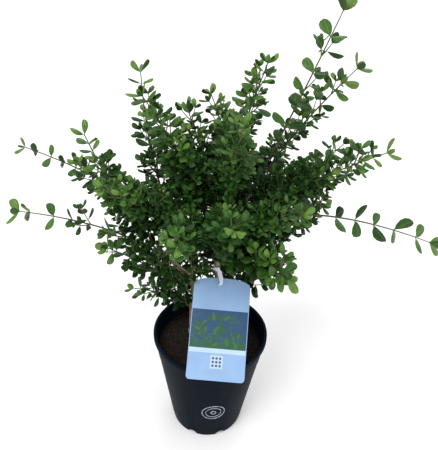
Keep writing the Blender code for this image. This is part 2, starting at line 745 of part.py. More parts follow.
class Mass:
    """One mass of foliage: a stem, side twigs and leaves, each kept clear of what was there before it."""

    def __init__(self, shoot, path, crown, finish):
        self.shoot = shoot
        self.path = path
        self.crown = crown
        self.finish = finish
        self.rng = random.Random(shoot.name + " leaves")
        self.twigs = [path]
        self.leaves = []

    def try_leaf(self, place, twigs, others):
        """The leaf that stands at a place, or None where it would touch something."""
        size = self.rng.uniform(*LEAF_SIZES)
        points = leaf_points(leaf_frame(place), LEAF_LENGTH * size, LEAF_WIDTH * size)
        samples = samples_of(points)
        far = samples[np.linalg.norm(samples - np.array(points[0]), axis=1) > ROOT_REACH]
        if any((Crown.distances(far, *Crown.segments(twig)) < OWN_CLEAR).any() for twig in twigs):
            return None
        if any(np.linalg.norm(far[:, None] - other[None], axis=2).min() < OWN_CLEAR for _, other in others):
            return None
        if not self.crown.has_room(self.shoot.name, samples):
            return None
        return points, far

    def leaves_at(self, places, twig=None):
        """As many of the leaves at these places as have room. twig is the one they stand on, if it is new."""
        twigs = self.twigs + ([twig] if twig else [])
        found = []
        for place in places:
            leaf = self.try_leaf(place, twigs, self.leaves + found)
            if leaf:
                found.append(leaf)
        return found

    def grow_twig(self, root, along, out, length):
        """A side twig with its leaves, or one leaf in its place where it has no room for two."""
        twig = self.roomy_part(twig_axis(root, along, out, length))
        if twig:
            found = self.leaves_at(twig_nodes(twig, self.rng), twig)
            if len(found) >= FEWEST_LEAVES:
                self.twigs.append(twig)
                self.leaves += found
                return
        self.leaves += self.leaves_at([(root, along, out, LEAF_ANGLE)])

    def roomy_part(self, twig):
        """As much of a side twig as has room, or None where that is too short to carry leaves."""
        root, end = twig
        kept = 0
        for step in range(2, TWIG_TESTS + 1):
            point = np.array([tuple(root.lerp(end, step / TWIG_TESTS))])
            gaps = [np.linalg.norm(other - point, axis=1).min() for _, other in self.leaves]
            if min(gaps, default=1) < OWN_CLEAR or not self.crown.has_room(self.shoot.name, point):
                break
            kept = step
        kept_end = root.lerp(end, kept / TWIG_TESTS)
        return [root, kept_end] if (kept_end - root).length > SHORTEST_TWIG else None

    def grow(self):
        """Fills the mass from its tip down, so that its furthest leaves are the ones that find room."""
        self.leaves += self.leaves_at(tip_nodes(self.path, self.rng.uniform(0, math.pi)))
        for root, along, out, length in reversed(side_shoots(self.shoot, self.path)):
            if len(self.leaves) >= MOST_LEAVES:
                break
            if length:
                self.grow_twig(root, along, out, length)
            else:
                self.leaves += self.leaves_at([(root, along, out, LEAF_ANGLE)])

    def build(self):
        """Joins the mass's stem, twigs and leaves into a single solid."""
        pieces = []
        for root, end in self.twigs[1:]:
            bends = [root, root.lerp(end, TWIG_ROOT_SHARE), end]
            mesh = tube("twig", bends, [0, TWIG_RADIUS, TWIG_TIP_RADIUS], TWIG_SIDES)
            pieces.append(object_of("twig", mesh, self.finish))
        for points, _ in self.leaves:
            mesh = mesh_of("leaf", points, LEAF_FACES)
            face_out(mesh)
            pieces.append(object_of("leaf", mesh, self.finish))
        name = "foliage_" + self.shoot.name
        radii = taper(MASS_STEM_RADIUS, TWIG_TIP_RADIUS, len(self.path))
        mass = object_of(name, tube(name, self.path, radii, TWIG_SIDES), self.finish)
        fuse(mass, pieces)


def main():
    clear_scene()
    plastic = material("pot_plastic", (0.012, 0.014, 0.019), 0.5)
    peat = material("soil_peat", (0.035, 0.022, 0.014), 0.95)
    card = material("label_card", (0.62, 0.70, 0.86), 0.4)
    bark = material("stem_bark", (0.21, 0.16, 0.10), 0.85)
    green = material("leaf_green", (0.045, 0.13, 0.022), 0.45)

    build_pot(plastic)
    build_soil(peat)
    stem_paths = {stem.name: stem_path(stem) for stem in STEMS}
    for stem in STEMS:
        build_stem(stem, stem_paths[stem.name], bark)
    build_label(card, stem_paths["trunk"])

    limbs = [(stem_paths[stem.name], stem.foot_radius) for stem in STEMS]
    masses = {}
    for shoot in SHOOTS:
        path = shoot_path(shoot, stem_paths)
        whole = lengths_of(path)[-1]
        bare = whole * shoot.bare
        start = bare + GAP if bare else way_out_of_stem(shoot, path)
        if bare:
            build_bough(shoot, path, bare, stem_paths[shoot.stem], bark)
            limbs.append((part_of(path, 0, bare, BOUGH_STEPS), BOUGH_FOOT_RADIUS))
        masses[shoot.name] = part_of(path, start, whole, MASS_STEPS)

    crown = Crown(limbs, masses)
    for shoot in SHOOTS:
        mass = Mass(shoot, masses[shoot.name], crown, green)
        mass.grow()
        mass.build()


main()
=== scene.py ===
import itertools
import random
from collections import namedtuple
from math import copysign, cos, dist, floor, hypot, pi, radians, sin, sqrt

import bmesh
import bpy
import numpy as np
from mathutils import Matrix, Vector, noise


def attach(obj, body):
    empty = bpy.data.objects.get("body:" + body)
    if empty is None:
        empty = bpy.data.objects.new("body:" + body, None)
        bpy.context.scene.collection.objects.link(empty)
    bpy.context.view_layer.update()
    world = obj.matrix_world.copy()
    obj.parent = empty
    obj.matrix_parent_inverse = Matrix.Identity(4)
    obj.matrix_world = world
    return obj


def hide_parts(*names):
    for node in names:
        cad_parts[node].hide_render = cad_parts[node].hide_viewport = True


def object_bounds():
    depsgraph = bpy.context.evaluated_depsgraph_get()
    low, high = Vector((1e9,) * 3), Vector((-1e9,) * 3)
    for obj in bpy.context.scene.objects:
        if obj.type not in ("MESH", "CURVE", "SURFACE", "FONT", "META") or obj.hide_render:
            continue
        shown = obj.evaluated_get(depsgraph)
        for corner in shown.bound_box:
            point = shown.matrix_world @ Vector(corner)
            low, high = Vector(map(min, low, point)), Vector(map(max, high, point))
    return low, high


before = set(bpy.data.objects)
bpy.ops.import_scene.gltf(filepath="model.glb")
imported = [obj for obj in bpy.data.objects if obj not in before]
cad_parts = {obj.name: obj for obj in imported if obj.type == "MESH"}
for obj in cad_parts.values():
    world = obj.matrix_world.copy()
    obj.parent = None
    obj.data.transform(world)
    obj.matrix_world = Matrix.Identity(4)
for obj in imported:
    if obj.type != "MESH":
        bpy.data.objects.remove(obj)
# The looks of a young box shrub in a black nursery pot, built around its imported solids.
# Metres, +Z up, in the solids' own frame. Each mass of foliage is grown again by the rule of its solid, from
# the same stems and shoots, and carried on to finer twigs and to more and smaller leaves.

CAD_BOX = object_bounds()
MM = 0.001
CM = 0.01
UP = Vector((0, 0, 1))
NEARLY_UPRIGHT = 0.05

# Pot, with a channel under its foot for the drain holes and a fine band below its lip
POT_HEIGHT = 143 * MM
RIM_RADIUS = 70 * MM
LIP_HEIGHT = 7 * MM
LIP_DEPTH = 2.2 * MM
FOOT_RADIUS = 46.5 * MM
WALL = 1.2 * MM
FLOOR_TOP = 3.2 * MM
CENTRE_RADIUS = 28 * MM
CHANNEL_RADIUS = 36 * MM
CHANNEL_DEPTH = 2 * MM
POT_SIDES = 144
POT_CREASE = 35
ROUND_STEPS = 3
DRAIN_COUNT = 8
DRAIN_RADIUS = 6 * MM
DRAIN_OVERRUN = 4 * MM
DRAIN_SIDES = 28
BAND_HEIGHT = 112 * MM
BAND_DEPTH = 0.5 * MM

# Rings moulded low on the pot's front: each one's radius, and that of its round section
EMBLEM_HEIGHT = 56 * MM
EMBLEM_TURN = -82
EMBLEM_RINGS = ((14 * MM, 0.7 * MM), (9.5 * MM, 0.55 * MM), (3 * MM, 0.65 * MM))
EMBLEM_STEPS = 56
EMBLEM_SIDES = 8

# Soil. Its lumps and crumbs are noise: an offset, a scale and a share of the roughness
SOIL_TOP = 125 * MM
SOIL_SIDE_GAP = 0.4 * MM
SOIL_FLAT_RADIUS = 37 * MM
SOIL_EDGE_DROP = 3 * MM
SOIL_SINK = 0.5 * MM
SOIL_SIDES = 120
SOIL_RINGS = 34
SOIL_ROUGHNESS = 1.6 * MM
SOIL_NOISES = ((0, 90, 0.6), (3, 330, 0.5))

# Chips on the soil. Each one's rings have a height and a width, in shares of its size
CHIP_COUNT = 520
CHIP_SIZES = (1.2 * MM, 4.2 * MM)
CHIP_SIZE_SHARES = (0.5, 1)
CHIP_SIDES = 6
CHIP_CREASE = 40
CHIP_RINGS = ((-0.22, 0.8), (0.0, 1.0), (0.2, 0.7))
CHIP_RAGGEDNESS = (0.75, 1.1)
CHIP_WIDTH_SHARE = 0.6
CHIP_RISE = 0.08
CHIP_TILT = 0.5
CHIP_EDGE_GAP = 4 * MM
CHIP_TONES = [0, 0, 1, 1, 2]

# Label
LABEL_WIDTH = 65 * MM
LABEL_LENGTH = 114 * MM
LABEL_THICKNESS = 0.8 * MM
LABEL_LEAN = 43
LABEL_TURN = 2.6
LABEL_OVERHANG = 8.5 * MM
LABEL_SHIFT = 7 * MM
LABEL_CORNER = 4 * MM
CORNER_STEPS = 8
LABEL_TOP_ARCH = 11 * MM
ARCH_RISE = 10.45 * MM
ARCH_STEPS = 22
ARCH_POWERS = (0.8, 0.75)
LABEL_GAP = 0.3 * MM
LABEL_CREASE = 30
LABEL_POINT_GAP = 2 * MM
LABEL_TOP_SHARE = 0.4

# The label's print: a picture of leaves, a stripe below it, a patch of spots, and two bars. The lengths of
# the leaves and each bar's lower edge and width are in millimetres
PRINT_PROUD = 0.04 * MM
PRINT_INSET = 0.8 * MM
PICTURE_LOW = 34.5 * MM
PICTURE_HIGH = 77 * MM
PICTURE_LEAVES = 90
PICTURE_LEAF_LENGTHS = (3, 5.5)
PICTURE_LEAF_WIDTH = 0.42
PICTURE_LEAF_SIDES = 14
PICTURE_CROWDING = 1.7
PICTURE_FAR_SHARE = 0.3
PICTURE_GROUND = 8 * MM
PICTURE_GROUND_PROUD = 1.4 * PRINT_PROUD
PICTURE_DEPTH = 0.3 * MM
STRIPE_HEIGHT = 5 * MM
PATCH_LOW = 13 * MM
PATCH_SIZE = 14 * MM
SPOT_GAP = 4 * MM
SPOT_RADIUS = 1.4 * MM
SPOT_SIDES = 24
BARS = ((9.5, 30), (7.2, 24))
BAR_HEIGHT = 0.7 * MM
PRINT_COLOURS = {
    "blue": (0.004, 0.052, 0.14),
    "far_green": (0.01, 0.075, 0.08),
    "green": (0.008, 0.078, 0.03),
    "near_green": (0.02, 0.125, 0.022),
    "white": (0.42, 0.56, 0.74),
    "slate": (0.06, 0.08, 0.14),
    "grey": (0.3, 0.35, 0.45),
}
BLUE, FAR_GREEN, GREEN, NEAR_GREEN, WHITE, SLATE, GREY = range(7)

# Strap, which widens towards the card
STRAP_WIDTH = 5 * MM
STRAP_THICKNESS = 0.8 * MM
STRAP_HALF = 0.36 * MM
STRAP_HEIGHT = 104 * MM
STRAP_ROOT = 8 * MM
STRAP_POINTS = (-0.5, 0, 0.5)
STRAP_ROWS = 12
STRAP_FLARE = 0.6
STRAP_FLARE_ROWS = 3
WELD_DISTANCE = 0.01 * MM
LOOP_GAP = 0.6 * MM
LOOP_SIDES = 40
LOOP_POINT_SIDES = 12

# Stems and shoots, as in the solids: centimetres above the soil and from the pot's axis, and degrees
Stem = namedtuple("Stem", "name foot tip height foot_radius tip_radius")
STEMS = [
    Stem("trunk", (0.6, 0.4), (0.4, 1.1), 18.5, 3.6 * MM, 2.2 * MM),
    Stem("stem_left", (-2.4, 1.2), (-1.9, 0.2), 16.5, 3.0 * MM, 1.9 * MM),
    Stem("stem_back", (1.5, 2.8), (2.3, 4.6), 17.5, 3.0 * MM, 1.9 * MM),
]
STEM_RINGS = 6
STEM_BOW = 0.35 * CM
STEM_STEPS = 60
STEM_SIDES = 20
FLARE_HEIGHT = 9 * MM
FLARE_SHARE = 0.55
SOIL_GAP = 0.3 * MM
Shoot = namedtuple("Shoot", "stem name leaves rise compass reach height bare gap twigs twig")
SHOOTS = [Shoot(stem, *row) for stem, rows in {
    "stem_left": (
        ("low_left", 4.2, 45, 175, 9.4, 7.0, 0, 1.4, 0.5, 3.2),
        ("low_back_left", 5.4, 45, 146, 10.5, 9.5, 0, 1.4, 0.7, 4.4),
        ("left_low", 6.6, 50, 191, 11.4, 14.6, 0.2, 1.4, 0.7, 4.8),
        ("left_long", 7.9, 62, 188, 21.3, 19.2, 0.25, 2.1, 0.2, 4.4),
        ("left_top", 9.2, 45, 190, 12.6, 27.0, 0.25, 1.4, 0.6, 4.6),
        ("left_upper", 10.4, 68, 174, 20.0, 23.8, 0.25, 1.8, 0.25, 4.4),
        ("left_tall", 11.6, 48, 153, 9.0, 31.4, 0.2, 1.6, 0.5, 3.8),
        ("front_left", 12.8, 56, 253, 11.2, 20.6, 0.15, 1.4, 0.7, 4.8),
        ("left_front", 14.2, 50, 208, 11.6, 23.0, 0.2, 1.4, 0.7, 4.8),
        ("upper_left", 16.5, 86, 187, 7.2, 30.4, 0, 1.4, 0.7, 4.8),
    ),
    "trunk": (
        ("front_right_low", 11.6, 48, 309, 10.8, 16.4, 0.2, 1.4, 0.7, 4.2),
        ("front_mid", 12.5, 56, 278, 10.8, 22.4, 0.2, 1.4, 0.7, 4.8),
        ("front_right", 13.4, 50, 323, 10.0, 21.6, 0.2, 1.4, 0.7, 4.8),
        ("right_long", 14.3, 48, 351, 22.2, 17.6, 0.25, 2.1, 0.2, 4.2),
        ("right_mid", 15.3, 45, 349, 15.6, 26.8, 0.2, 1.4, 0.6, 4.6),
        ("front_top", 16.3, 65, 290, 5.6, 29.6, 0.15, 1.4, 0.7, 4.8),
        ("top_left", 17.3, 74, 148, 3.8, 28.6, 0.15, 1.4, 0.7, 4.6),
        ("top_inner", 18.5, 80, 358, 4.0, 33.6, 0, 1.4, 0.6, 4.4),
    ),
    "stem_back": (
        ("low_right", 4.0, 45, 22, 9.6, 9.4, 0, 1.4, 0.7, 4.4),
        ("low_back", 5.4, 45, 82, 11.6, 10.0, 0, 1.4, 0.7, 4.4),
        ("right_back", 7.6, 52, 22, 13.4, 17.6, 0.25, 1.4, 0.7, 4.8),
        ("back_mid", 8.8, 55, 76, 13.4, 18.6, 0.25, 1.4, 0.7, 4.8),
        ("back_left", 10.0, 55, 120, 13.2, 20.0, 0.3, 1.4, 0.7, 4.8),
        ("right_upper", 11.2, 55, 12, 13.2, 25.4, 0.25, 1.4, 0.7, 4.6),
        ("back_right", 12.4, 55, 48, 12.2, 24.6, 0.2, 1.4, 0.7, 4.8),
        ("right_top", 13.8, 74, 11, 13.0, 33.0, 0.25, 1.7, 0.5, 4.2),
        ("top_right_long", 15.0, 66, 355, 9.8, 38.2, 0.2, 1.9, 0.35, 4.0),
        ("back_high", 16.2, 65, 88, 8.6, 26.4, 0.15, 1.4, 0.7, 4.6),
        ("top_mid", 17.5, 84, 101, 5.1, 29.3, 0, 1.4, 0.7, 4.4),
    ),
}.items() for row in rows]
SHOOT_ENDS = {"left_long": 0.93, "right_long": 0.985}
BEND_SHARE = 0.45
PATH_STEPS = 14
BOUGH_FOOT_RADIUS = 1.7 * MM
BOUGH_ROOT_RADIUS = 2.55 * MM
BOUGH_TIP_RADIUS = 1.25 * MM
BOUGH_OVERRUN = 1 * MM
BOUGH_STEPS = 10
BOUGH_SIDES = 12

# Bark: one skin over fused limbs, and the noise of its ridges and scars
SKIN_VOXEL = 0.42 * MM
SKIN_SMOOTHING = 3
BARK_RIDGES = Vector((620, 620, 55))
BARK_SCARS = Vector((200, 200, 420))
RIDGE_SHARE = 0.7
SCAR_SHARE = 0.3
BARK_LEVEL = 0.5
BARK_RELIEF = 0.45 * MM
PLAIN_FOOT = 0.5 * MM

# Leaves. Each look is a colour, roughness and specular: from dark to fresh, then the rib and the underside
LEAF_LENGTHS = (12.5 * MM, 16.5 * MM)
BROAD_LEAF_LENGTHS = (15.5 * MM, 19 * MM)
FRONT_SHARE = 0.85
LEAF_LENGTH_RANGE = (0.88, 1.1)
LEAF_WIDTH_SHARE = 0.52
LEAF_WIDTH_RANGE = (0.9, 1.1)
LEAF_THICKNESS = 0.34 * MM
LEAF_SINK = 0.3 * MM
LEAF_CREASE = 75
LEAF_ANGLE = 56
LEAF_TIP_ANGLE = 34
LEAF_ANGLE_SPREAD = 9
LEAF_FACINGS = (0.55, 1.1)
LEAF_SAMPLES = ((0.35, 0), (0.6, 0), (0.85, 0), (1, 0), (0.6, 0.4), (0.6, -0.4), (0.82, 0.3), (0.82, -0.3))
LEAF_LOOKS = {
    "dark": ((0.0042, 0.0235, 0.0016), 0.48, 0.14),
    "deep": ((0.0105, 0.0465, 0.0036), 0.46, 0.18),
    "mid": ((0.0225, 0.077, 0.0075), 0.43, 0.26),
    "bright": ((0.044, 0.12, 0.0135), 0.42, 0.3),
    "fresh": ((0.085, 0.178, 0.022), 0.42, 0.34),
    "rib": ((0.13, 0.225, 0.035), 0.48, 0.36),
    "under": ((0.040, 0.095, 0.020), 0.6, 0.25),
}
LEAF_TONES = 6
FRESH_TONE = 4
UNDER_TONE = 6
TONE_ALONG = 0.44
TONE_UP = 0.2
TONE_SPREAD = (-0.26, 0.24)
OPPOSITE = (0, pi)
CROSSWISE = (pi / 2, -pi / 2)
TURN_SPREAD = 0.3

# One leaf's shape: widths along it, places across it, and the bend, fold and twist of each kind of leaf
LEAF_STATIONS = ((0.13, 0.13), (0.32, 0.66), (0.56, 0.98), (0.78, 0.92), (0.93, 0.56))
LEAF_COLUMNS = (-1.0, -0.55, -0.09, 0.09, 0.55, 1.0)
RIB_EDGES = (-0.09, 0.09)
RIB_DIP = 0.05
LEAF_DOME = 0.55
LEAF_BENDS = ((0.1, 0.35, 0), (0.16, 0.28, 0.05), (0.05, 0.42, -0.05), (0.2, 0.36, 0.03), (0.12, 0.2, -0.08))
BLADE, UNDER, RIB = range(3)

# Pairs of leaves along a twig, and the pair and the smaller one at its end
PAIR_GAP = 7 * MM
PAIR_GAP_RANGE = (0.9, 1.12)
PAIR_END_SHARE = 0.45
PAIR_BASE = 0.86
PAIR_SWELL = 0.3
PAIR_SWELL_SHIFT = 0.1
PAIR_FADE = 0.18
END_PAIR_SHARE = 0.78
END_SMALL_SHARE = 0.62
END_SMALL_RANGE = (0.7, 1)
END_SMALL_ANGLE = 15.3
END_INSET = 0.6 * MM

# Shoots and twigs
SHOOT_STEPS = 16
Limb = namedtuple("Limb", "radius tip_radius sides wood first_pair")
SHOOT = Limb(1.5 * MM, 0.5 * MM, 8, 0, None)
BOUGH_SHOOT = SHOOT._replace(radius=BOUGH_TIP_RADIUS)
TWIG = Limb(0.75 * MM, 0.4 * MM, 6, 1, 5.6 * MM)
TWIGLET = Limb(0.5 * MM, 0.32 * MM, 5, 1, 4.9 * MM)
SHOOT_TIP_INSET = 0.5 * MM
SHOOT_TIP_SHARES = (0.9, 0.6)
FIRST_NODE = 8.8 * MM
LAST_NODE_GAP = 5.5 * MM
NODE_SHARE = 0.6
NODE_GAP_RANGE = (0.88, 1.14)
TWIG_ANGLE = 42
TWIG_ANGLE_SPREAD = 7
TWIG_LIFT = 0.22
TWIG_RISE = 0.16
TWIG_BEND = 0.5
TWIG_SHORTENING = 0.8
TWIG_LENGTHS = (0.72, 1.08)
TWIG_STEPS = 5
TWIG_CREASE = 60
TWIG_TRIES = (1.0, 0.8, 0.62)
TWIG_BONUS = 0.3
SPARSE_TWIG_BONUS = -0.06
TWIG_POINT_GAP = 2.2 * MM
SHORTEST_TWIG = 13 * MM
SHORTEST_TRY = 10.4 * MM
TWIGLET_FROM = 26 * MM
TWIGLET_PLACES = (0.3, 0.55)
TWIGLET_LENGTHS = (12 * MM, 19 * MM)
TWIGLET_SHARE = 0.7
TWIGLET_LEAF_SHARE = 0.85
INNER_FROM = 60 * MM
INNER_GAP = 9 * MM
INNER_LENGTHS = (18 * MM, 36 * MM)
INNER_TURN = 2.4
INNER_TONES = [0, 0, 1]

# Shoots that differ: some have larger leaves, fewer twigs or smaller leaves, and the long ones have few twigs
# and broad leaves that face the front. Each long one has a share of the gap between nodes, the span that has
# twigs, and the lengths of its leaves
BROAD_SHOOTS = ("front_right_low",)
SPARSE_SHOOTS = ("left_low", "low_right", "right_upper")
FRONT_SHOOTS = ("front_left", "left_front", "front_mid", "front_right", "front_top")
LONG_SHOOTS = {
    "left_long": (0.95, (0, 0.6), (16 * MM, 18.5 * MM)),
    "left_upper": (0.75, (0, 0.62), (12 * MM, 15 * MM)),
    "right_long": (1.0, (0, 0.3), (20 * MM, 24 * MM)),
    "top_right_long": (1.0, (0.36, 0.82), (16 * MM, 20 * MM)),
    "right_top": (0.8, (0.34, 0.88), (14 * MM, 17.5 * MM)),
}
LONG_TWIG_BONUS = 0.22
LONG_LEAVES_FROM = 0.34
LONG_WIDENING = 1.22
LONG_FACING = Vector((0, -1.5, 1.2))
Habit = namedtuple("Habit", "node_share twig_span twig_bonus lengths twig_lengths "
                            "widening facing has_twiglets", defaults=(1.0, UP, True))

# Room between things that grow
ROOM_CELL = 4 * MM
LEAF_CLEAR = 1.5 * MM
LABEL_CLEAR = 3 * MM
STRAP_CLEAR_LENGTH = 20 * MM
POT_CLEAR = 3 * MM
RIM_REACH = 12 * MM
ROOT_REACH = 4.5 * MM
BOX_MARGIN = 1 * MM
CLEAR_STEPS = 90
CLEAR_SIDES = 8
BOUGH_CLEAR_STEPS = 20

# Studio: each light's place, the width of its source in degrees, and its strength
LIGHTS = {
    "key": ((-1.8, -2.4, 4.6), 28, 1.55),
    "fill": ((3.4, -1.8, 2.6), 50, 0.5),
    "rim": ((0.8, 3.6, 3.4), 40, 0.6),
}
LIGHT_TARGET = Vector((0, 0, 0.3))
FLOOR_SIZE = 60
FLOOR_DROP = 0.2 * MM

# Camera, from the photograph's viewpoint. The frame is 438 by 450 pixels
CAMERA_PLACE = Vector((-0.004, -0.427, 0.542))
CAMERA_TARGET = Vector((0.004, 0, 0.292))
CAMERA_ROLL = 2.9
FOCAL_PIXELS = 460
FRAME_WIDTH = 438
SENSOR_WIDTH = 36


def bezier(start, bend, end, steps):
    shares = [i / steps for i in range(steps + 1)]
    return [start * (1 - t) ** 2 + bend * 2 * t * (1 - t) + end * t * t for t in shares]


def lengths_of(path):
    total = [0.0]
    for a, b in zip(path, path[1:]):
        total.append(total[-1] + (b - a).length)
    return total


def length_of(path):
    return lengths_of(path)[-1]


def point_at(path, distance):
    """The point this far along a path, and the path's direction there."""
    total = lengths_of(path)
    for i in range(len(path) - 1):
        if distance <= total[i + 1] or i == len(path) - 2:
            share = (distance - total[i]) / (total[i + 1] - total[i])
            return path[i].lerp(path[i + 1], share), (path[i + 1] - path[i]).normalized()


def part_of(path, start, end, steps):
    return [point_at(path, start + (end - start) * i / steps)[0] for i in range(steps + 1)]


def turns_of(sides):
    return [2 * pi * side / sides for side in range(sides)]


def polar(radius, turn):
    return radius * cos(turn), radius * sin(turn)


def taper(start, end, count):
    return [start + (end - start) * i / (count - 1) for i in range(count)]


def side_of(along):
    across = along.cross(UP)
    if across.length < NEARLY_UPRIGHT:
        across = along.cross(Vector((1, 0, 0)))
    return across.normalized()


def around(along, turn):
    """A direction square to a twig, turned about it."""
    across = side_of(along)
    return across * cos(turn) + along.cross(across) * sin(turn)


def circle(centre, across, second, radius, sides):
    return [centre + (across * cos(turn) + second * sin(turn)) * radius for turn in turns_of(sides)]


def ring_faces(rings, sides, closed=False):
    """Faces between rings of points that follow one another, and from the last to the first if closed."""
    faces = []
    for ring in range(rings if closed else rings - 1):
        low, high = ring * sides, (ring + 1) % rings * sides
        for side in range(sides):
            after = (side + 1) % sides
            faces.append([low + side, low + after, high + after, high + side])
    return faces


def end_faces(rings, sides):
    last = (rings - 1) * sides
    return [list(range(sides))[::-1], list(range(last, last + sides))]


def object_of(name, data):
    obj = bpy.data.objects.new(name, data)
    bpy.context.scene.collection.objects.link(obj)
    return obj


def apply_modifiers(obj):
    graph = bpy.context.evaluated_depsgraph_get()
    made = bpy.data.meshes.new_from_object(obj.evaluated_get(graph))
    for finish in obj.data.materials:
        if finish.name not in made.materials:
            made.materials.append(finish)
    obj.modifiers.clear()
    obj.data = made


class Parts:
    """Points and faces gathered for one joined mesh, with a material number for each face."""

    def __init__(self):
        self.points = []
        self.faces = []
        self.kinds = []

    def add(self, points, faces, kind=0):
        first = len(self.points)
        self.points += [tuple(p) for p in points]
        self.faces += [[first + corner for corner in face] for face in faces]
        self.kinds += kind if isinstance(kind, list) else [kind] * len(faces)

    def make(self, name, finishes, sharp=None):
        mesh = bpy.data.meshes.new(name)
        mesh.from_pydata(self.points, [], self.faces)
        for finish in finishes:
            mesh.materials.append(finish)
        mesh.polygons.foreach_set("material_index", self.kinds)
        mesh.shade_smooth()
        if sharp:
            mesh.set_sharp_from_angle(angle=radians(sharp))
        return object_of(name, mesh)


def solid(name, points, faces, finishes):
    parts = Parts()
    parts.add(points, faces)
    return parts.make(name, finishes)


def tube_of(path, radii, sides, round_end=False):
    """The points and faces of a closed tapering limb of round section along a path."""
    points = []
    across = side_of((path[1] - path[0]).normalized())
    for i, centre in enumerate(path):
        along = (path[min(i + 1, len(path) - 1)] - path[max(i - 1, 0)]).normalized()
        across = (across - along * across.dot(along)).normalized()
        points += circle(centre, across, along.cross(across), radii[i], sides)
    foot, end = end_faces(len(path), sides)
    ends = [foot, end]
    if round_end:
        points.append(path[-1] + (path[-1] - path[-2]).normalized() * radii[-1])
        ends = [foot] + [[a, b, len(points) - 1] for a, b in zip(end, end[1:] + end[:1])]
    return points, ring_faces(len(path), sides) + ends


def closed_tube(path, radius, sides):
    """The points and faces of a ring of round section along a closed path."""
    points = []
    count = len(path)
    centre = sum(path, Vector()) / count
    for i, place in enumerate(path):
        along = (path[(i + 1) % count] - path[i - 1]).normalized()
        across = (place - centre).normalized()
        points += circle(place, across, along.cross(across).normalized(), radius, sides)
    return points, ring_faces(count, sides, closed=True)


def face_out(mesh, merge=0.0):
    """Turns every face outwards, after points within the merge distance are joined."""
    shape = bmesh.new()
    shape.from_mesh(mesh)
    if merge:
        bmesh.ops.remove_doubles(shape, verts=shape.verts, dist=merge)
    bmesh.ops.recalc_face_normals(shape, faces=shape.faces)
    shape.to_mesh(mesh)
    shape.free()


def ride(piece, nodes=()):
    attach(piece, "root")
    if nodes:
        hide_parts(*nodes)


def noise_value(tree, scale, detail, stretch=(1, 1, 1)):
    """The value of a noise in the object's own coordinates."""
    place = tree.nodes.new("ShaderNodeTexCoord")
    fit = tree.nodes.new("ShaderNodeMapping")
    fit.inputs["Scale"].default_value = stretch
    made = tree.nodes.new("ShaderNodeTexNoise")
    made.inputs["Scale"].default_value = scale
    made.inputs["Detail"].default_value = detail
    tree.links.new(place.outputs["Object"], fit.inputs["Vector"])
    tree.links.new(fit.outputs["Vector"], made.inputs["Vector"])
    return made.outputs["Fac"]


def finish_of(name, colour, roughness, specular, tone, stops, bump=None, grain=None, gloss=None):
    """A material: plain values on its shader's own sockets, with a tone, relief and gloss that vary by noise.

    Tone and grain are noises, by scale, detail and stretch. The stops are colours over the tone, the bump is
    the strength and depth of the grain, or else of the tone, and the gloss is a range of roughness.
    """
    made = bpy.data.materials.new(name)
    made.use_nodes = True
    tree = made.node_tree
    shader = tree.nodes["Principled BSDF"]
    shader.inputs["Base Color"].default_value = (*colour, 1)
    shader.inputs["Roughness"].default_value = roughness
    shader.inputs["Specular IOR Level"].default_value = specular
    source = noise_value(tree, *tone)
    ramp = tree.nodes.new("ShaderNodeValToRGB")
    while len(ramp.color_ramp.elements) < len(stops):
        ramp.color_ramp.elements.new(0.5)
    for element, (place, shade) in zip(ramp.color_ramp.elements, stops):
        element.position = place
        element.color = (*shade, 1)
    tree.links.new(source, ramp.inputs["Fac"])
    tree.links.new(ramp.outputs["Color"], shader.inputs["Base Color"])
    if bump:
        relief = tree.nodes.new("ShaderNodeBump")
        relief.inputs["Strength"].default_value, relief.inputs["Distance"].default_value = bump
        tree.links.new(noise_value(tree, *grain) if grain else source, relief.inputs["Height"])
        tree.links.new(relief.outputs["Normal"], shader.inputs["Normal"])
    if gloss:
        spread = tree.nodes.new("ShaderNodeMapRange")
        spread.inputs["To Min"].default_value, spread.inputs["To Max"].default_value = gloss
        tree.links.new(source, spread.inputs["Value"])
        tree.links.new(spread.outputs["Result"], shader.inputs["Roughness"])
    return made


def scaled(colour, share):
    return tuple(value * share for value in colour)


def leaf_finish(name, colour, roughness, specular):
    """A leaf's blade: its own green with faint mottling, and a skin that is not quite smooth."""
    stops = [(0.3, scaled(colour, 0.78)), (0.7, scaled(colour, 1.2))]
    return finish_of(name, colour, roughness, specular, (160, 4), stops,
                     bump=(0.12, 0.3 * MM), grain=(900, 2), gloss=(roughness - 0.07, roughness + 0.09))


def bark_finish(name, dark, mid, light, roughness):
    """Bark: long streaks that run up the limb."""
    stops = [(0.28, dark), (0.5, mid), (0.72, light)]
    return finish_of(name, mid, roughness, 0.25, (700, 5, (1, 1, 0.16)), stops,
                     bump=(0.5, 0.4 * MM), gloss=(roughness - 0.1, roughness + 0.1))


def pot_finish():
    """Blue-black moulded plastic with a soft sheen and a little dust."""
    stops = [(0.3, (0.0021, 0.0044, 0.0085)), (0.62, (0.0037, 0.0072, 0.0132)), (0.8, (0.0085, 0.013, 0.021))]
    return finish_of("pot_plastic", (0.0036, 0.007, 0.0125), 0.5, 0.022, (26, 5), stops,
                     bump=(0.12, 0.1 * MM), grain=(1500, 2), gloss=(0.4, 0.62))


def emblem_finish():
    stops = [(0.35, (0.06, 0.075, 0.095)), (0.6, (0.34, 0.38, 0.43))]
    return finish_of("emblem_plastic", (0.2, 0.22, 0.26), 0.5, 0.5, (420, 4), stops)


def soil_finish(name, dark, light):
    stops = [(0.32, scaled(dark, 0.5)), (0.52, dark), (0.72, light)]
    return finish_of(name, dark, 0.95, 0.2, (420, 6), stops, bump=(0.8, 0.8 * MM))


def card_finish(name, colour):
    """Coated card or print: nearly even, with a faint waviness."""
    stops = [(0.3, scaled(colour, 0.95)), (0.7, scaled(colour, 1.03))]
    return finish_of(name, colour, 0.34, 0.5, (60, 2), stops, bump=(0.08, 0.4 * MM))


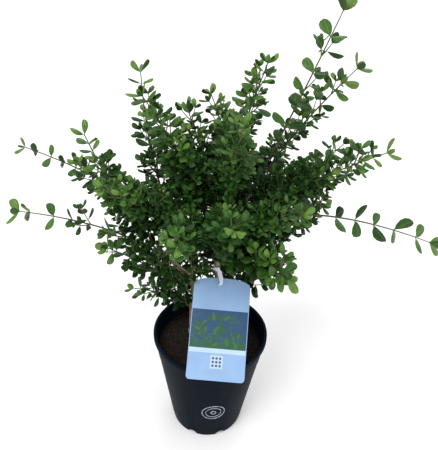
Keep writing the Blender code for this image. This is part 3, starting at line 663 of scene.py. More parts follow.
def outer_radius(height, foot=0.0):
    """The radius of the pot's wall at a height, below its lip."""
    rise = (height - foot) / (POT_HEIGHT - LIP_HEIGHT - foot)
    return FOOT_RADIUS + (RIM_RADIUS - LIP_DEPTH - FOOT_RADIUS) * rise


def inner_radius(height):
    return outer_radius(height, FLOOR_TOP) - WALL


def rounded(radius, before, corner, after):
    """Points of a small round in a profile's corner."""
    a, b, c = Vector(before), Vector(corner), Vector(after)
    start = b + (a - b).normalized() * radius
    end = b + (c - b).normalized() * radius
    return [tuple(p) for p in bezier(start, b, end, ROUND_STEPS)]


def pot_profile():
    under_lip = POT_HEIGHT - LIP_HEIGHT
    lip_wall = RIM_RADIUS - LIP_DEPTH
    corners = [
        ((0, 0), 0),
        ((CENTRE_RADIUS, 0), 0.4 * MM),
        ((CENTRE_RADIUS + CHANNEL_DEPTH, CHANNEL_DEPTH), 0.4 * MM),
        ((CHANNEL_RADIUS - CHANNEL_DEPTH, CHANNEL_DEPTH), 0.4 * MM),
        ((CHANNEL_RADIUS, 0), 0.4 * MM),
        ((FOOT_RADIUS, 0), 1.6 * MM),
        ((outer_radius(BAND_HEIGHT), BAND_HEIGHT), 0.3 * MM),
        ((outer_radius(BAND_HEIGHT) + BAND_DEPTH, BAND_HEIGHT + BAND_DEPTH), 0.3 * MM),
        ((lip_wall + BAND_DEPTH / 2, under_lip), 0.5 * MM),
        ((RIM_RADIUS, under_lip + LIP_DEPTH / 3), 0.6 * MM),
        ((RIM_RADIUS, POT_HEIGHT), 1.0 * MM),
        ((lip_wall - WALL, POT_HEIGHT), 0.9 * MM),
        ((lip_wall - WALL, under_lip), 0.6 * MM),
        ((inner_radius(FLOOR_TOP), FLOOR_TOP), 1.5 * MM),
        ((0, FLOOR_TOP), 0),
    ]
    profile = []
    for i, (corner, radius) in enumerate(corners):
        if radius == 0:
            profile.append(corner)
        else:
            profile += rounded(radius, corners[i - 1][0], corner, corners[i + 1][0])
    return profile


def lathe(profile, sides):
    points, rings, faces = [], [], []
    for radius, height in profile:
        first = len(points)
        if radius == 0:
            points.append((0, 0, height))
            rings.append([first] * sides)
            continue
        points += [(*polar(radius, turn), height) for turn in turns_of(sides)]
        rings.append(list(range(first, first + sides)))
    for low, high in zip(rings, rings[1:]):
        for side in range(sides):
            after = (side + 1) % sides
            faces.append(list(dict.fromkeys([low[side], low[after], high[after], high[side]])))
    return points, faces


def build_pot():
    pot = solid("nursery_pot", *lathe(pot_profile(), POT_SIDES), [pot_finish()])
    face_out(pot.data)
    for turn in turns_of(DRAIN_COUNT):
        out = Vector((*polar(1, turn + pi / DRAIN_COUNT), 0))
        ends = [out * (CHANNEL_RADIUS - CHANNEL_DEPTH), out * (FOOT_RADIUS + DRAIN_OVERRUN)]
        cut_by(pot, solid("drain", *tube_of(ends, [DRAIN_RADIUS] * 2, DRAIN_SIDES), []))
    pot.data.shade_smooth()
    pot.data.set_sharp_from_angle(angle=radians(POT_CREASE))
    ride(pot, ["pot"])
    build_emblem()


def cut_by(obj, cutter):
    """Takes the cutter's shape out of obj, and removes the cutter."""
    face_out(cutter.data)
    step = obj.modifiers.new("cut", "BOOLEAN")
    step.operation = "DIFFERENCE"
    step.object = cutter
    apply_modifiers(obj)
    bpy.data.objects.remove(cutter)


def build_emblem():
    """Three plain rings, moulded on the wall."""
    parts = Parts()
    for radius, section in EMBLEM_RINGS:
        path = []
        for turn in turns_of(EMBLEM_STEPS):
            across, up = polar(radius, turn)
            wall = outer_radius(EMBLEM_HEIGHT + up)
            path.append(Vector((*polar(wall, radians(EMBLEM_TURN) + across / wall), EMBLEM_HEIGHT + up)))
        parts.add(*closed_tube(path, section, EMBLEM_SIDES))
    emblem = parts.make("pot_emblem", [emblem_finish()])
    face_out(emblem.data)
    ride(emblem)


def soil_height(x, y):
    """The soil's surface: level by the stems, lower at the wall, crumbly all over."""
    radius = hypot(x, y)
    edge = inner_radius(SOIL_TOP) - SOIL_SIDE_GAP
    fall = max(0, (radius - SOIL_FLAT_RADIUS) / (edge - SOIL_FLAT_RADIUS))
    rough = sum(noise.noise(Vector((x, y, offset)) * scale) * share for offset, scale, share in SOIL_NOISES)
    return SOIL_TOP - SOIL_EDGE_DROP * fall - SOIL_SINK + SOIL_ROUGHNESS * rough


def build_soil():
    bottom = FLOOR_TOP + SOIL_SIDE_GAP
    edge_height = SOIL_TOP - SOIL_EDGE_DROP - SOIL_ROUGHNESS
    edge = inner_radius(edge_height) - SOIL_SIDE_GAP
    profile = [(0, bottom), (inner_radius(bottom) - SOIL_SIDE_GAP, bottom)]
    profile += [(edge * (1 - i / SOIL_RINGS), edge_height) for i in range(SOIL_RINGS)] + [(0, edge_height)]
    points, faces = lathe(profile, SOIL_SIDES)
    points = [(x, y, soil_height(x, y) if z == edge_height else z) for x, y, z in points]
    # Dark peat, with its colours darkened further as painted shade for the shade that falls inside the pot
    # under the crown.
    peat = soil_finish("soil_peat", (0.009, 0.006, 0.004), (0.03, 0.02, 0.013))
    soil = solid("potting_mix", points, faces, [peat])
    face_out(soil.data)
    ride(soil, ["soil"])
    build_chips()


def build_chips():
    """Bits of bark and crumbs that lie on the soil, half sunk."""
    rng = random.Random("chips")
    parts = Parts()
    reach = inner_radius(SOIL_TOP) - CHIP_EDGE_GAP
    faces = ring_faces(len(CHIP_RINGS), CHIP_SIDES) + end_faces(len(CHIP_RINGS), CHIP_SIDES)
    for _ in range(CHIP_COUNT):
        x, y = polar(reach * sqrt(rng.random()), rng.uniform(0, 2 * pi))
        size = rng.uniform(*CHIP_SIZES) * rng.uniform(*CHIP_SIZE_SHARES)
        spin = Matrix.Rotation(rng.uniform(0, 2 * pi), 4, "Z")
        spin = spin @ Matrix.Rotation(rng.uniform(-CHIP_TILT, CHIP_TILT), 4, "X")
        place = Matrix.Translation((x, y, soil_height(x, y) + size * CHIP_RISE)) @ spin
        points = []
        for height, width in CHIP_RINGS:
            for turn in turns_of(CHIP_SIDES):
                along, across = polar(size / 2 * width * rng.uniform(*CHIP_RAGGEDNESS), turn)
                points.append(place @ Vector((along, across * CHIP_WIDTH_SHARE, height * size)))
        parts.add(points, faces, rng.choice(CHIP_TONES))
    finishes = [
        soil_finish("soil_crumb", (0.006, 0.004, 0.003), (0.018, 0.012, 0.008)),
        soil_finish("soil_bark", (0.022, 0.013, 0.008), (0.055, 0.033, 0.02)),
        soil_finish("soil_pale", (0.045, 0.03, 0.019), (0.09, 0.062, 0.04)),
    ]
    chips = parts.make("soil_chips", finishes, sharp=CHIP_CREASE)
    face_out(chips.data)
    ride(chips)


def label_frame():
    """The label's own frame: X across it, Y up its length, Z out of its face, from the back's lower edge."""
    lean = radians(LABEL_LEAN)
    turn = Matrix.Rotation(-radians(LABEL_TURN), 4, "Z")
    face = Vector((0, -cos(lean), sin(lean)))
    along = Vector((0, sin(lean), cos(lean)))
    tilt = Matrix((Vector((1, 0, 0)), along, face)).transposed().to_4x4()
    rest = Vector((LABEL_SHIFT, -RIM_RADIUS, POT_HEIGHT)) + face * LABEL_GAP
    return Matrix.Translation(rest) @ tilt @ turn @ Matrix.Translation((0, -LABEL_OVERHANG, 0))


def label_outline():
    """The card's outline: rounded corners below, two shoulders and an arched top."""
    half = LABEL_WIDTH / 2
    points = []
    for side, first in ((-1, 180), (1, 270)):
        for step in range(CORNER_STEPS + 1):
            across, up = polar(LABEL_CORNER, radians(first + 90 / CORNER_STEPS * step))
            points.append((side * (half - LABEL_CORNER) + across, LABEL_CORNER + up))
    breadth, rise = ARCH_POWERS
    for step in range(ARCH_STEPS + 1):
        turn = pi * step / ARCH_STEPS
        x = copysign(abs(cos(turn)) ** breadth, cos(turn))
        y = ARCH_RISE * sin(turn) ** rise
        points.append((half * x, LABEL_LENGTH - LABEL_TOP_ARCH + y))
    return points


def slab(parts, outline, low, high, kind):
    """A flat piece of the label between two heights over its back, in the label's frame."""
    place = label_frame()
    points = [place @ Vector((x, y, z)) for z in (low, high) for x, y in outline]
    parts.add(points, end_faces(2, len(outline)) + ring_faces(2, len(outline)), kind)


def ellipse(across, up, sides):
    return [(across * cos(turn), up * sin(turn)) for turn in turns_of(sides)]


def rectangle(x, y, width, height):
    return [(x, y), (x + width, y), (x + width, y + height), (x, y + height)]


def turned(outline, turn, x, y):
    """An outline turned about its middle, and moved there."""
    c, s = cos(turn), sin(turn)
    return [(x + a * c - b * s, y + a * s + b * c) for a, b in outline]


def build_label():
    """A coated card with a plain picture of leaves on it, and its strap round the trunk."""
    card = Parts()
    slab(card, label_outline(), 0, LABEL_THICKNESS, 0)
    piece = card.make("label_card", [card_finish("label_card", (0.235, 0.385, 0.62))], sharp=LABEL_CREASE)
    ride(piece, ["label"])
    build_print()
    build_strap()


def build_print():
    """The card's print: thin layers, one on another."""
    rng = random.Random("label")
    parts = Parts()
    half = LABEL_WIDTH / 2 - PRINT_INSET

    def layer(outline, kind, base=0.0, thick=PRINT_PROUD):
        slab(parts, outline, LABEL_THICKNESS + base, LABEL_THICKNESS + base + thick, kind)

    tall = PICTURE_HIGH - PICTURE_LOW
    layer(rectangle(-half, PICTURE_LOW, 2 * half, tall), BLUE)
    layer(rectangle(-half, PICTURE_LOW, 2 * half, PICTURE_GROUND), GREEN, thick=PICTURE_GROUND_PROUD)
    for i in range(PICTURE_LEAVES):
        share = i / PICTURE_LEAVES
        length = rng.uniform(*PICTURE_LEAF_LENGTHS) * MM
        x = rng.uniform(-half + length, half - length)
        y = PICTURE_LOW + length + (tall - 2 * length) * rng.random() ** PICTURE_CROWDING
        outline = ellipse(length, length * PICTURE_LEAF_WIDTH, PICTURE_LEAF_SIDES)
        outline = turned(outline, rng.uniform(0, pi), x, y)
        kind = rng.choice([FAR_GREEN, GREEN, GREEN, NEAR_GREEN]) if share > PICTURE_FAR_SHARE else FAR_GREEN
        layer(outline, kind, PRINT_PROUD + share * PICTURE_DEPTH)
    layer(rectangle(-half, PICTURE_LOW - STRIPE_HEIGHT, 2 * half, STRIPE_HEIGHT), WHITE)
    layer(rectangle(-PATCH_SIZE / 2, PATCH_LOW, PATCH_SIZE, PATCH_SIZE), WHITE)
    for row in (-1, 0, 1):
        for column in (-1, 0, 1):
            y = PATCH_LOW + PATCH_SIZE / 2 + row * SPOT_GAP
            spot = turned(ellipse(SPOT_RADIUS, SPOT_RADIUS, SPOT_SIDES), 0, column * SPOT_GAP, y)
            layer(spot, SLATE, PRINT_PROUD)
    for y, width in BARS:
        layer(rectangle(-width / 2 * MM, y * MM, width * MM, BAR_HEIGHT), GREY)
    finishes = [card_finish("print_" + name, colour) for name, colour in PRINT_COLOURS.items()]
    ride(parts.make("label_print", finishes, sharp=LABEL_CREASE))


def strap_place():
    """The loop's centre and inner radius, and the strip's two ends."""
    trunk = STEMS[0]
    centre = point_at_height(stem_path(trunk), SOIL_TOP + STRAP_HEIGHT)
    share = STRAP_HEIGHT / (trunk.height * CM)
    inner = trunk.foot_radius + (trunk.tip_radius - trunk.foot_radius) * share + LOOP_GAP
    start = label_frame() @ Vector((0, LABEL_LENGTH - STRAP_ROOT, LABEL_THICKNESS / 2))
    out = Vector((start.x - centre.x, start.y - centre.y, 0)).normalized()
    return centre, inner, start, centre + out * (inner + STRAP_THICKNESS / 2)


def label_points():
    """Points all over the card's top and the strap, which leaves keep clear of."""
    place = label_frame()
    half = int(LABEL_WIDTH / 2 / LABEL_POINT_GAP)
    rows = int(LABEL_TOP_SHARE * LABEL_LENGTH / LABEL_POINT_GAP)
    spots = [(i, j) for i in range(-half, half + 1) for j in range(rows)]
    points = [place @ Vector((i * LABEL_POINT_GAP, LABEL_LENGTH - j * LABEL_POINT_GAP, 0)) for i, j in spots]
    centre, inner, start, end = strap_place()
    across = side_of((end - start).normalized())
    for i in range(STRAP_ROWS + 1):
        points += [start.lerp(end, i / STRAP_ROWS) + across * STRAP_WIDTH * side for side in STRAP_POINTS]
    for turn in turns_of(LOOP_POINT_SIDES):
        rim = centre + around(UP, turn) * (inner + STRAP_THICKNESS)
        points += [rim + UP * STRAP_WIDTH * side for side in STRAP_POINTS]
    return points


def build_strap():
    """A strip from the card's top that widens out of it, and closes in a loop round the trunk."""
    centre, inner, start, end = strap_place()
    outer = inner + STRAP_THICKNESS
    low, high = -STRAP_WIDTH / 2, STRAP_WIDTH / 2
    section = [(inner, low), (outer, low), (outer, high), (inner, high), (inner, low)]
    points, faces = lathe(section, LOOP_SIDES)
    parts = Parts()
    parts.add([centre + Vector(p) for p in points], faces)
    along = (end - start).normalized()
    across = side_of(along)
    face = across.cross(along)
    points = []
    for i in range(STRAP_ROWS + 1):
        place = start.lerp(end, i / STRAP_ROWS)
        wide = STRAP_WIDTH * (0.5 + STRAP_FLARE * max(0, 1 - i / STRAP_FLARE_ROWS) ** 2)
        for x, z in ((-wide, -1), (wide, -1), (wide, 1), (-wide, 1)):
            points.append(place + across * x + face * z * STRAP_HALF)
    parts.add(points, ring_faces(STRAP_ROWS + 1, 4) + end_faces(STRAP_ROWS + 1, 4))
    strap = parts.make("label_strap", [card_finish("label_strap", (0.68, 0.75, 0.87))], sharp=LABEL_CREASE)
    face_out(strap.data, merge=WELD_DISTANCE)
    ride(strap)


def stem_path(stem):
    """The stem's axis, from its flat foot on the soil to its tip, bowed a little to one side."""
    foot = Vector((stem.foot[0] * CM, stem.foot[1] * CM, SOIL_TOP + SOIL_GAP))
    tip = Vector((stem.tip[0] * CM, stem.tip[1] * CM, SOIL_TOP + stem.height * CM))
    sideways = side_of((tip - foot).normalized()) * STEM_BOW
    return bezier(foot, (foot + tip) / 2 + sideways, tip, STEM_RINGS)


def point_at_height(path, height):
    for i in range(len(path) - 1):
        if path[i + 1].z >= height or i == len(path) - 2:
            return path[i].lerp(path[i + 1], (height - path[i].z) / (path[i + 1].z - path[i].z))


def shoot_path(shoot):
    """A shoot's axis, from its stem's axis to its tip: it leaves at its rise and bends towards the tip."""
    start = point_at_height(STEM_PATHS[shoot.stem], SOIL_TOP + shoot.leaves * CM)
    out = polar(shoot.reach * CM, radians(shoot.compass))
    tip = Vector((*out, SOIL_TOP + shoot.height * CM))
    chord = tip - start
    level = Vector((chord.x, chord.y, 0)).normalized()
    rise = radians(shoot.rise)
    heading = level * cos(rise) + UP * sin(rise)
    return bezier(start, start + heading * chord.length * BEND_SHARE, tip, PATH_STEPS)


STEM_PATHS = {stem.name: stem_path(stem) for stem in STEMS}
SHOOT_PATHS = {shoot.name: shoot_path(shoot) for shoot in SHOOTS}


def stem_rings(stem, steps):
    """Points along a stem, and its radius at each."""
    path = STEM_PATHS[stem.name]
    return part_of(path, 0, length_of(path), steps), taper(stem.foot_radius, stem.tip_radius, steps + 1)


def build_bark():
    """The three stems and their boughs, each stem and its boughs fused in one skin with bark relief."""
    bark = bark_finish("stem_bark", (0.10, 0.07, 0.042), (0.24, 0.18, 0.115), (0.42, 0.34, 0.24), 0.82)
    for stem in STEMS:
        shoots = [shoot for shoot in SHOOTS if shoot.stem == stem.name and shoot.bare]
        parts = Parts()
        rings, radii = stem_rings(stem, STEM_STEPS)
        for i, ring in enumerate(rings):
            radii[i] *= 1 + FLARE_SHARE * max(0, 1 - (ring.z - rings[0].z) / FLARE_HEIGHT)
        parts.add(*tube_of(rings, radii, STEM_SIDES))
        for shoot in shoots:
            path = SHOOT_PATHS[shoot.name]
            axis = part_of(path, 0, length_of(path) * shoot.bare + BOUGH_OVERRUN, BOUGH_STEPS)
            radii = [BOUGH_ROOT_RADIUS] + taper(BOUGH_FOOT_RADIUS, BOUGH_TIP_RADIUS, BOUGH_STEPS)
            parts.add(*tube_of(axis, radii, BOUGH_SIDES))
        skin = parts.make(stem.name + "_bark", [bark])
        face_out(skin.data)
        fuse_by_voxels(skin)
        roughen(skin.data)
        ride(skin, [stem.name] + ["bough_" + shoot.name for shoot in shoots])


def fuse_by_voxels(obj):
    """Joins overlapping limbs into one closed skin."""
    step = obj.modifiers.new("fuse", "REMESH")
    step.mode = "VOXEL"
    step.voxel_size = SKIN_VOXEL
    obj.modifiers.new("smooth", "SMOOTH").iterations = SKIN_SMOOTHING
    apply_modifiers(obj)


def roughen(mesh):
    """Bark relief: long ridges that run up the limb, and small scars across it."""
    foot = min(vertex.co.z for vertex in mesh.vertices)
    normals = [vertex.normal.copy() for vertex in mesh.vertices]
    for vertex, normal in zip(mesh.vertices, normals):
        if vertex.co.z > foot + PLAIN_FOOT:
            ridge = 1 - abs(noise.noise(vertex.co * BARK_RIDGES))
            scar = noise.noise(vertex.co * BARK_SCARS)
            vertex.co += normal * (ridge * RIDGE_SHARE + scar * SCAR_SHARE - BARK_LEVEL) * BARK_RELIEF
    mesh.shade_smooth()


def leaf_shape(bend, fold, twist):
    """One leaf's points and faces, and which are blade, underside and rib.

    X runs along it, Y across it and Z out of its upper side, in shares. A fourth number says which side of
    its thickness a point is on. It is closed, widest past its middle, blunt, and dished along its rib.
    """
    points, tops, unders = [(0, 0, 0, 0)], [], []
    for x, wide in LEAF_STATIONS:
        top, under = [], []
        for y in LEAF_COLUMNS:
            dome = fold * (abs(y) * LEAF_DOME - y * y) * wide - bend * x * x + twist * x * y * wide
            dip = -RIB_DIP * wide if y in RIB_EDGES else 0
            top.append(len(points))
            points += [(x, y * wide / 2, dome + dip, side) for side in ((0,) if abs(y) == 1 else (0.5, -0.5))]
            under.append(len(points) - 1)
        tops.append(top)
        unders.append(under)
    points.append((1.0, 0, -bend, 0))
    faces, kinds = [], []
    for rows, order in ((tops, -1), (unders, 1)):
        for column in range(len(LEAF_COLUMNS) - 1):
            a, b = column, column + 1
            own = [[0, rows[0][a], rows[0][b]]]
            own += [[low[a], high[a], high[b], low[b]] for low, high in zip(rows, rows[1:])]
            own.append([rows[-1][a], len(points) - 1, rows[-1][b]])
            faces += [face[::order] for face in own]
            is_rib = LEAF_COLUMNS[a] in RIB_EDGES and LEAF_COLUMNS[b] in RIB_EDGES
            kinds += [UNDER if rows is unders else RIB if is_rib else BLADE] * len(own)
    return np.array(points), faces, kinds


LEAF_SHAPES = [leaf_shape(*bends) for bends in LEAF_BENDS]


class Room:
    """What already stands in the crown, kept in small cells, so that leaves do not run into each other."""

    def __init__(self):
        self.cells = {}

    def key(self, point):
        return tuple(int(floor(v / ROOM_CELL)) for v in point)

    def is_free(self, points):
        for point in points:
            near = [(key - 1, key, key + 1) for key in self.key(point)]
            for cell in itertools.product(*near):
                if any(dist(point, other) < LEAF_CLEAR for other in self.cells.get(cell, ())):
                    return False
        return True

    def add(self, points):
        for point in points:
            self.cells.setdefault(self.key(point), []).append(tuple(point))


LABEL_INVERSE = label_frame().inverted()


def in_bounds(point):
    """Whether a point keeps off the label, the pot and the soil, and inside the solids' box."""
    low, high = CAD_BOX
    if any(p < a + BOX_MARGIN or p > b - BOX_MARGIN for p, a, b in zip(point, low, high)):
        return False
    x, y, z = LABEL_INVERSE @ Vector(point)
    on_card = abs(x) < LABEL_WIDTH / 2 + LABEL_CLEAR and -LABEL_CLEAR < y < LABEL_LENGTH + LABEL_CLEAR
    on_strap = abs(x) < STRAP_WIDTH and 0 < y < LABEL_LENGTH + STRAP_CLEAR_LENGTH
    if (on_card or on_strap) and abs(z) < LABEL_CLEAR:
        return False
    over_rim = hypot(point[0], point[1]) > RIM_RADIUS - RIM_REACH
    return point[2] > (POT_HEIGHT if over_rim else SOIL_TOP) + POT_CLEAR


def habit_of(shoot):
    """How a shoot grows its twigs and leaves."""
    if shoot.name in LONG_SHOOTS:
        node_share, span, lengths = LONG_SHOOTS[shoot.name]
        return Habit(node_share, span, LONG_TWIG_BONUS, lengths, LEAF_LENGTHS,
                     LONG_WIDENING, LONG_FACING, False)
    lengths = LEAF_LENGTHS
    if shoot.name in FRONT_SHOOTS:
        lengths = [length * FRONT_SHARE for length in LEAF_LENGTHS]
    if shoot.name in BROAD_SHOOTS:
        lengths = BROAD_LEAF_LENGTHS
    if shoot.name in SPARSE_SHOOTS:
        return Habit(NODE_SHARE, (0, 1), SPARSE_TWIG_BONUS, lengths, lengths, has_twiglets=False)
    return Habit(NODE_SHARE, (0, 1), TWIG_BONUS, lengths, lengths)


class Foliage:
    """The twigs and leaves of some of one stem's masses."""

    def __init__(self, room):
        self.room = room
        self.twigs = Parts()
        self.leaves = Parts()
        self.rng = None
        self.widening = 1.0
        self.facing = UP
        self.has_twiglets = True

    def leaf(self, root, along, turn, angle, length, tone):
        """Grows one leaf, where it has room."""
        rng = self.rng
        out = around(along, turn)
        lean = radians(angle + rng.uniform(-LEAF_ANGLE_SPREAD, LEAF_ANGLE_SPREAD))
        heading = (along * cos(lean) + out * sin(lean)).normalized()
        face = along * sin(lean) - out * cos(lean) + self.facing * rng.uniform(*LEAF_FACINGS)
        face = (face - heading * face.dot(heading)).normalized()
        across = face.cross(heading)
        points, faces, kinds = rng.choice(LEAF_SHAPES)
        length *= rng.uniform(*LEAF_LENGTH_RANGE)
        width = length * LEAF_WIDTH_SHARE * self.widening * rng.uniform(*LEAF_WIDTH_RANGE)
        start = root - heading * LEAF_SINK
        samples = [start + heading * length * x + across * width * y for x, y in LEAF_SAMPLES]
        far = [p for p in samples if (p - root).length > ROOT_REACH]
        if not all(in_bounds(p) for p in far) or not self.room.is_free(far):
            return
        self.room.add(far)
        x, y, z, side = points.T
        lift = np.outer(z * length + side * LEAF_THICKNESS, face)
        points = np.array(start) + np.outer(x * length, heading) + np.outer(y * width, across) + lift
        tones = {BLADE: tone, UNDER: UNDER_TONE, RIB: tone + 1}
        self.leaves.add(points, faces, [tones[kind] for kind in kinds])

    def pair(self, root, along, turn, angle, length, tone):
        """Two leaves that face each other across a twig."""
        for half in OPPOSITE:
            self.leaf(root, along, turn + half, angle, length, tone)

    def pairs(self, path, first, length, tone):
        """Pairs of leaves along a twig, each a quarter turn on, and a pair and a small one at its tip."""
        rng = self.rng
        total = length_of(path)
        turn = rng.uniform(0, pi)
        distance = first
        while distance < total - PAIR_GAP * PAIR_END_SHARE:
            share = distance / total
            swell = PAIR_BASE + PAIR_SWELL * sin(pi * min(1, share + PAIR_SWELL_SHIFT))
            swell *= 1 - PAIR_FADE * share
            self.pair(*point_at(path, distance), turn, LEAF_ANGLE, length * swell, tone)
            turn += pi / 2 + rng.uniform(-TURN_SPREAD, TURN_SPREAD)
            distance += PAIR_GAP * rng.uniform(*PAIR_GAP_RANGE)
        end = point_at(path, total - END_INSET)
        shade = min(tone + 1, FRESH_TONE)
        self.pair(*end, turn, LEAF_TIP_ANGLE, length * END_PAIR_SHARE, shade)
        for half in CROSSWISE:
            small = length * END_SMALL_SHARE * rng.uniform(*END_SMALL_RANGE)
            self.leaf(*end, turn + half, END_SMALL_ANGLE, small, shade)

    def path_of(self, root, along, turn, length):
        """A side twig's axis: it leans out from its parent and curves up towards the light."""
        angle = radians(TWIG_ANGLE + self.rng.uniform(-TWIG_ANGLE_SPREAD, TWIG_ANGLE_SPREAD))
        heading = along * cos(angle) + around(along, turn) * sin(angle)
        heading = (heading + UP * TWIG_LIFT).normalized()
        end = root + (heading + UP * TWIG_RISE).normalized() * length
        return bezier(root, root + heading * length * TWIG_BEND, end, TWIG_STEPS)

    def twig(self, path, limb):
        """A twig, which takes up room beyond its root."""
        radii = taper(limb.radius, limb.tip_radius, len(path))
        self.twigs.add(*tube_of(path, radii, limb.sides, round_end=True), limb.wood)
        length = length_of(path)
        steps = max(2, int(length / TWIG_POINT_GAP))
        self.room.add(part_of(path, min(ROOT_REACH, length / 2), length, steps))

    def twiglet(self, root, along, turn, leaf_length, tone):
        path = self.path_of(root, along, turn, self.rng.uniform(*TWIGLET_LENGTHS))
        if all(in_bounds(p) for p in path[2:]):
            self.twig(path, TWIGLET)
            self.pairs(path, TWIGLET.first_pair, leaf_length, tone)

    def spray(self, root, along, turn, reach, leaf_length, tone):
        """A side twig with its leaves, shortened until its tip has room, and its twiglets."""
        for share in TWIG_TRIES:
            path = self.path_of(root, along, turn, reach * share)
            if reach * share > SHORTEST_TRY and all(in_bounds(p) for p in path[2:]):
                break
        else:
            self.leaf(root, along, turn, LEAF_ANGLE, leaf_length, tone)
            return
        length = length_of(path)
        self.twig(path, TWIG)
        if length > TWIGLET_FROM and self.has_twiglets:
            side = self.rng.uniform(0, pi)
            for place in TWIGLET_PLACES:
                for half in OPPOSITE:
                    if self.rng.random() < TWIGLET_SHARE:
                        start = point_at(path, length * place)
                        self.twiglet(*start, side + half, leaf_length * TWIGLET_LEAF_SHARE, tone)
                side += pi / 2
        self.pairs(path, TWIG.first_pair, leaf_length, tone)

    def grow(self, shoot):
        """One mass: the shoot's own stem, its side twigs with their twiglets, and all their leaves."""
        rng = self.rng = random.Random(shoot.name + " twigs")
        habit = habit_of(shoot)
        path = SHOOT_PATHS[shoot.name]
        whole = length_of(path)
        axis = part_of(path, whole * shoot.bare, whole * SHOOT_ENDS.get(shoot.name, 1), SHOOT_STEPS)
        self.has_twiglets = habit.has_twiglets
        self.widening = habit.widening
        self.twig(axis, BOUGH_SHOOT if shoot.bare else SHOOT)
        length = length_of(axis)
        nodes = self.nodes_of(shoot, habit, length)
        self.tip(axis, habit.lengths[1])
        for distance, turn, reach in reversed(nodes):
            root, along = point_at(axis, distance)
            share = distance / length
            tone = self.tone_at(share, (root.z - POT_HEIGHT) / (CAD_BOX[1][2] - POT_HEIGHT))
            self.widening = 1.0 if reach else habit.widening
            self.facing = UP if reach else habit.facing
            if reach:
                self.spray(root, along, turn, reach, rng.uniform(*habit.twig_lengths), tone)
            else:
                sizes = habit.twig_lengths if share < LONG_LEAVES_FROM else habit.lengths
                self.leaf(root, along, turn, LEAF_ANGLE, rng.uniform(*sizes), tone)

    def nodes_of(self, shoot, habit, length):
        """Opposite nodes along a shoot: how far, at which turn, and how long a twig, or 0 for a leaf."""
        rng = self.rng
        nodes = []
        first, last = habit.twig_span
        turn = rng.uniform(0, pi)
        distance = FIRST_NODE
        while distance < length - LAST_NODE_GAP:
            for half in OPPOSITE:
                share = distance / length
                reach = shoot.twig * CM * (1 - TWIG_SHORTENING * share) * rng.uniform(*TWIG_LENGTHS)
                is_twig = first <= share <= last and rng.random() < shoot.twigs + habit.twig_bonus
                nodes.append((distance, turn + half, reach if is_twig and reach > SHORTEST_TWIG else 0))
            turn += pi / 2 + rng.uniform(-TURN_SPREAD, TURN_SPREAD)
            distance += shoot.gap * CM * habit.node_share * rng.uniform(*NODE_GAP_RANGE)
        return nodes

    def tone_at(self, share, height):
        """The green of a spray: older inner ones dark, the tips and the top of the crown fresh."""
        light = TONE_ALONG * share + TONE_UP * height + self.rng.uniform(*TONE_SPREAD)
        return max(0, min(FRESH_TONE, int(light * LEAF_TONES)))

    def tip(self, axis, length):
        """The shoot's own end: a fresh pair, and a smaller one that is still opening."""
        end = point_at(axis, length_of(axis) - SHOOT_TIP_INSET)
        turn = self.rng.uniform(0, pi)
        wide, small = SHOOT_TIP_SHARES
        self.pair(*end, turn, LEAF_TIP_ANGLE, length * wide, FRESH_TONE)
        self.pair(*end, turn + pi / 2, LEAF_TIP_ANGLE / 2, length * small, FRESH_TONE)

    def inner(self, stem):
        """Short dark sprays on the stem itself, in the crown's shade."""
        self.widening = 1.0
        self.facing = UP
        rng = self.rng = random.Random(stem.name + " inner")
        path = STEM_PATHS[stem.name]
        turn = rng.uniform(0, pi)
        distance = INNER_FROM
        while distance < length_of(path) - INNER_GAP:
            root, along = point_at(path, distance)
            for half in OPPOSITE:
                start = root + around(along, turn + half) * stem.tip_radius
                size = rng.uniform(*LEAF_LENGTHS) * FRONT_SHARE
                reach = rng.uniform(*INNER_LENGTHS)
                self.spray(start, along, turn + half, reach, size, rng.choice(INNER_TONES))
            turn += INNER_TURN
            distance += INNER_GAP


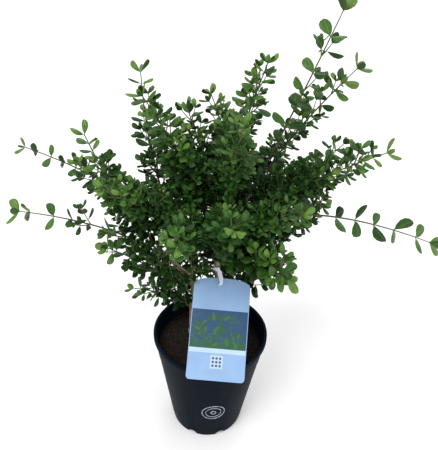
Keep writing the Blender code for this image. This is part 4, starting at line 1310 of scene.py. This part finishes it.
def build_foliage():
    greens = [leaf_finish("leaf_" + name, *look) for name, look in LEAF_LOOKS.items()]
    woods = [
        bark_finish("twig_bark", (0.036, 0.04, 0.016), (0.07, 0.074, 0.03), (0.13, 0.132, 0.06), 0.75),
        bark_finish("twig_green", (0.05, 0.095, 0.022), (0.08, 0.14, 0.032), (0.13, 0.19, 0.055), 0.55),
    ]
    room = Room()
    room.add(label_points())
    for stem in STEMS:
        for ring, radius in zip(*stem_rings(stem, CLEAR_STEPS)):
            room.add([ring + around(UP, turn) * radius for turn in turns_of(CLEAR_SIDES)])
    for shoot in SHOOTS:
        path = SHOOT_PATHS[shoot.name]
        if shoot.bare:
            room.add(part_of(path, 0, length_of(path) * shoot.bare, BOUGH_CLEAR_STEPS))
    for stem in STEMS:
        own = [shoot for shoot in SHOOTS if shoot.stem == stem.name]
        half = len(own) // 2
        short = stem.name.replace("stem_", "").replace("trunk", "middle")
        for level, shoots in (("lower", own[:half]), ("upper", own[half:])):
            foliage = Foliage(room)
            for shoot in shoots:
                foliage.grow(shoot)
            if level == "lower":
                foliage.inner(stem)
            leaves = foliage.leaves.make(f"leaves_{short}_{level}", greens, sharp=LEAF_CREASE)
            twigs = foliage.twigs.make(f"twigs_{short}_{level}", woods, sharp=TWIG_CREASE)
            ride(leaves, ["foliage_" + shoot.name for shoot in shoots])
            ride(twigs)


def build_camera():
    data = bpy.data.cameras.new("photo_view")
    data.sensor_fit = "HORIZONTAL"
    data.sensor_width = SENSOR_WIDTH
    data.lens = FOCAL_PIXELS / FRAME_WIDTH * SENSOR_WIDTH
    data.clip_start = 10 * MM
    camera = object_of("photo_view", data)
    turn = (CAMERA_TARGET - CAMERA_PLACE).to_track_quat("-Z", "Y").to_matrix().to_4x4()
    roll = Matrix.Rotation(radians(CAMERA_ROLL), 4, "Z")
    camera.matrix_world = Matrix.Translation(CAMERA_PLACE) @ turn @ roll
    bpy.context.scene.camera = camera


def build_studio():
    """Even light from far off, as large diffusers give, a white world, and a pale floor."""
    bpy.context.scene.view_settings.view_transform = "Standard"
    for name, (place, spread, strength) in LIGHTS.items():
        data = bpy.data.lights.new(name, "SUN")
        data.angle = radians(spread)
        data.energy = strength
        light = object_of(name, data)
        light.location = place
        light.rotation_euler = (LIGHT_TARGET - Vector(place)).to_track_quat("-Z", "Y").to_euler()
    world = bpy.data.worlds.new("soft_white")
    world.use_nodes = True
    world.node_tree.nodes["Background"].inputs["Color"].default_value = (1, 1, 1, 1)
    world.node_tree.nodes["Background"].inputs["Strength"].default_value = 1.0
    bpy.context.scene.world = world

    stops = [(0.3, (0.79, 0.79, 0.79)), (0.7, (0.81, 0.81, 0.81))]
    paint = finish_of("floor_paint", (0.8, 0.8, 0.8), 0.8, 0.1, (3, 2), stops)
    corners = rectangle(-FLOOR_SIZE / 2, -FLOOR_SIZE / 2, FLOOR_SIZE, FLOOR_SIZE)
    solid("floor", [(x, y, -FLOOR_DROP) for x, y in corners], [[0, 1, 2, 3]], [paint])


build_camera()
build_studio()
build_pot()
build_soil()
build_label()
build_bark()
build_foliage()
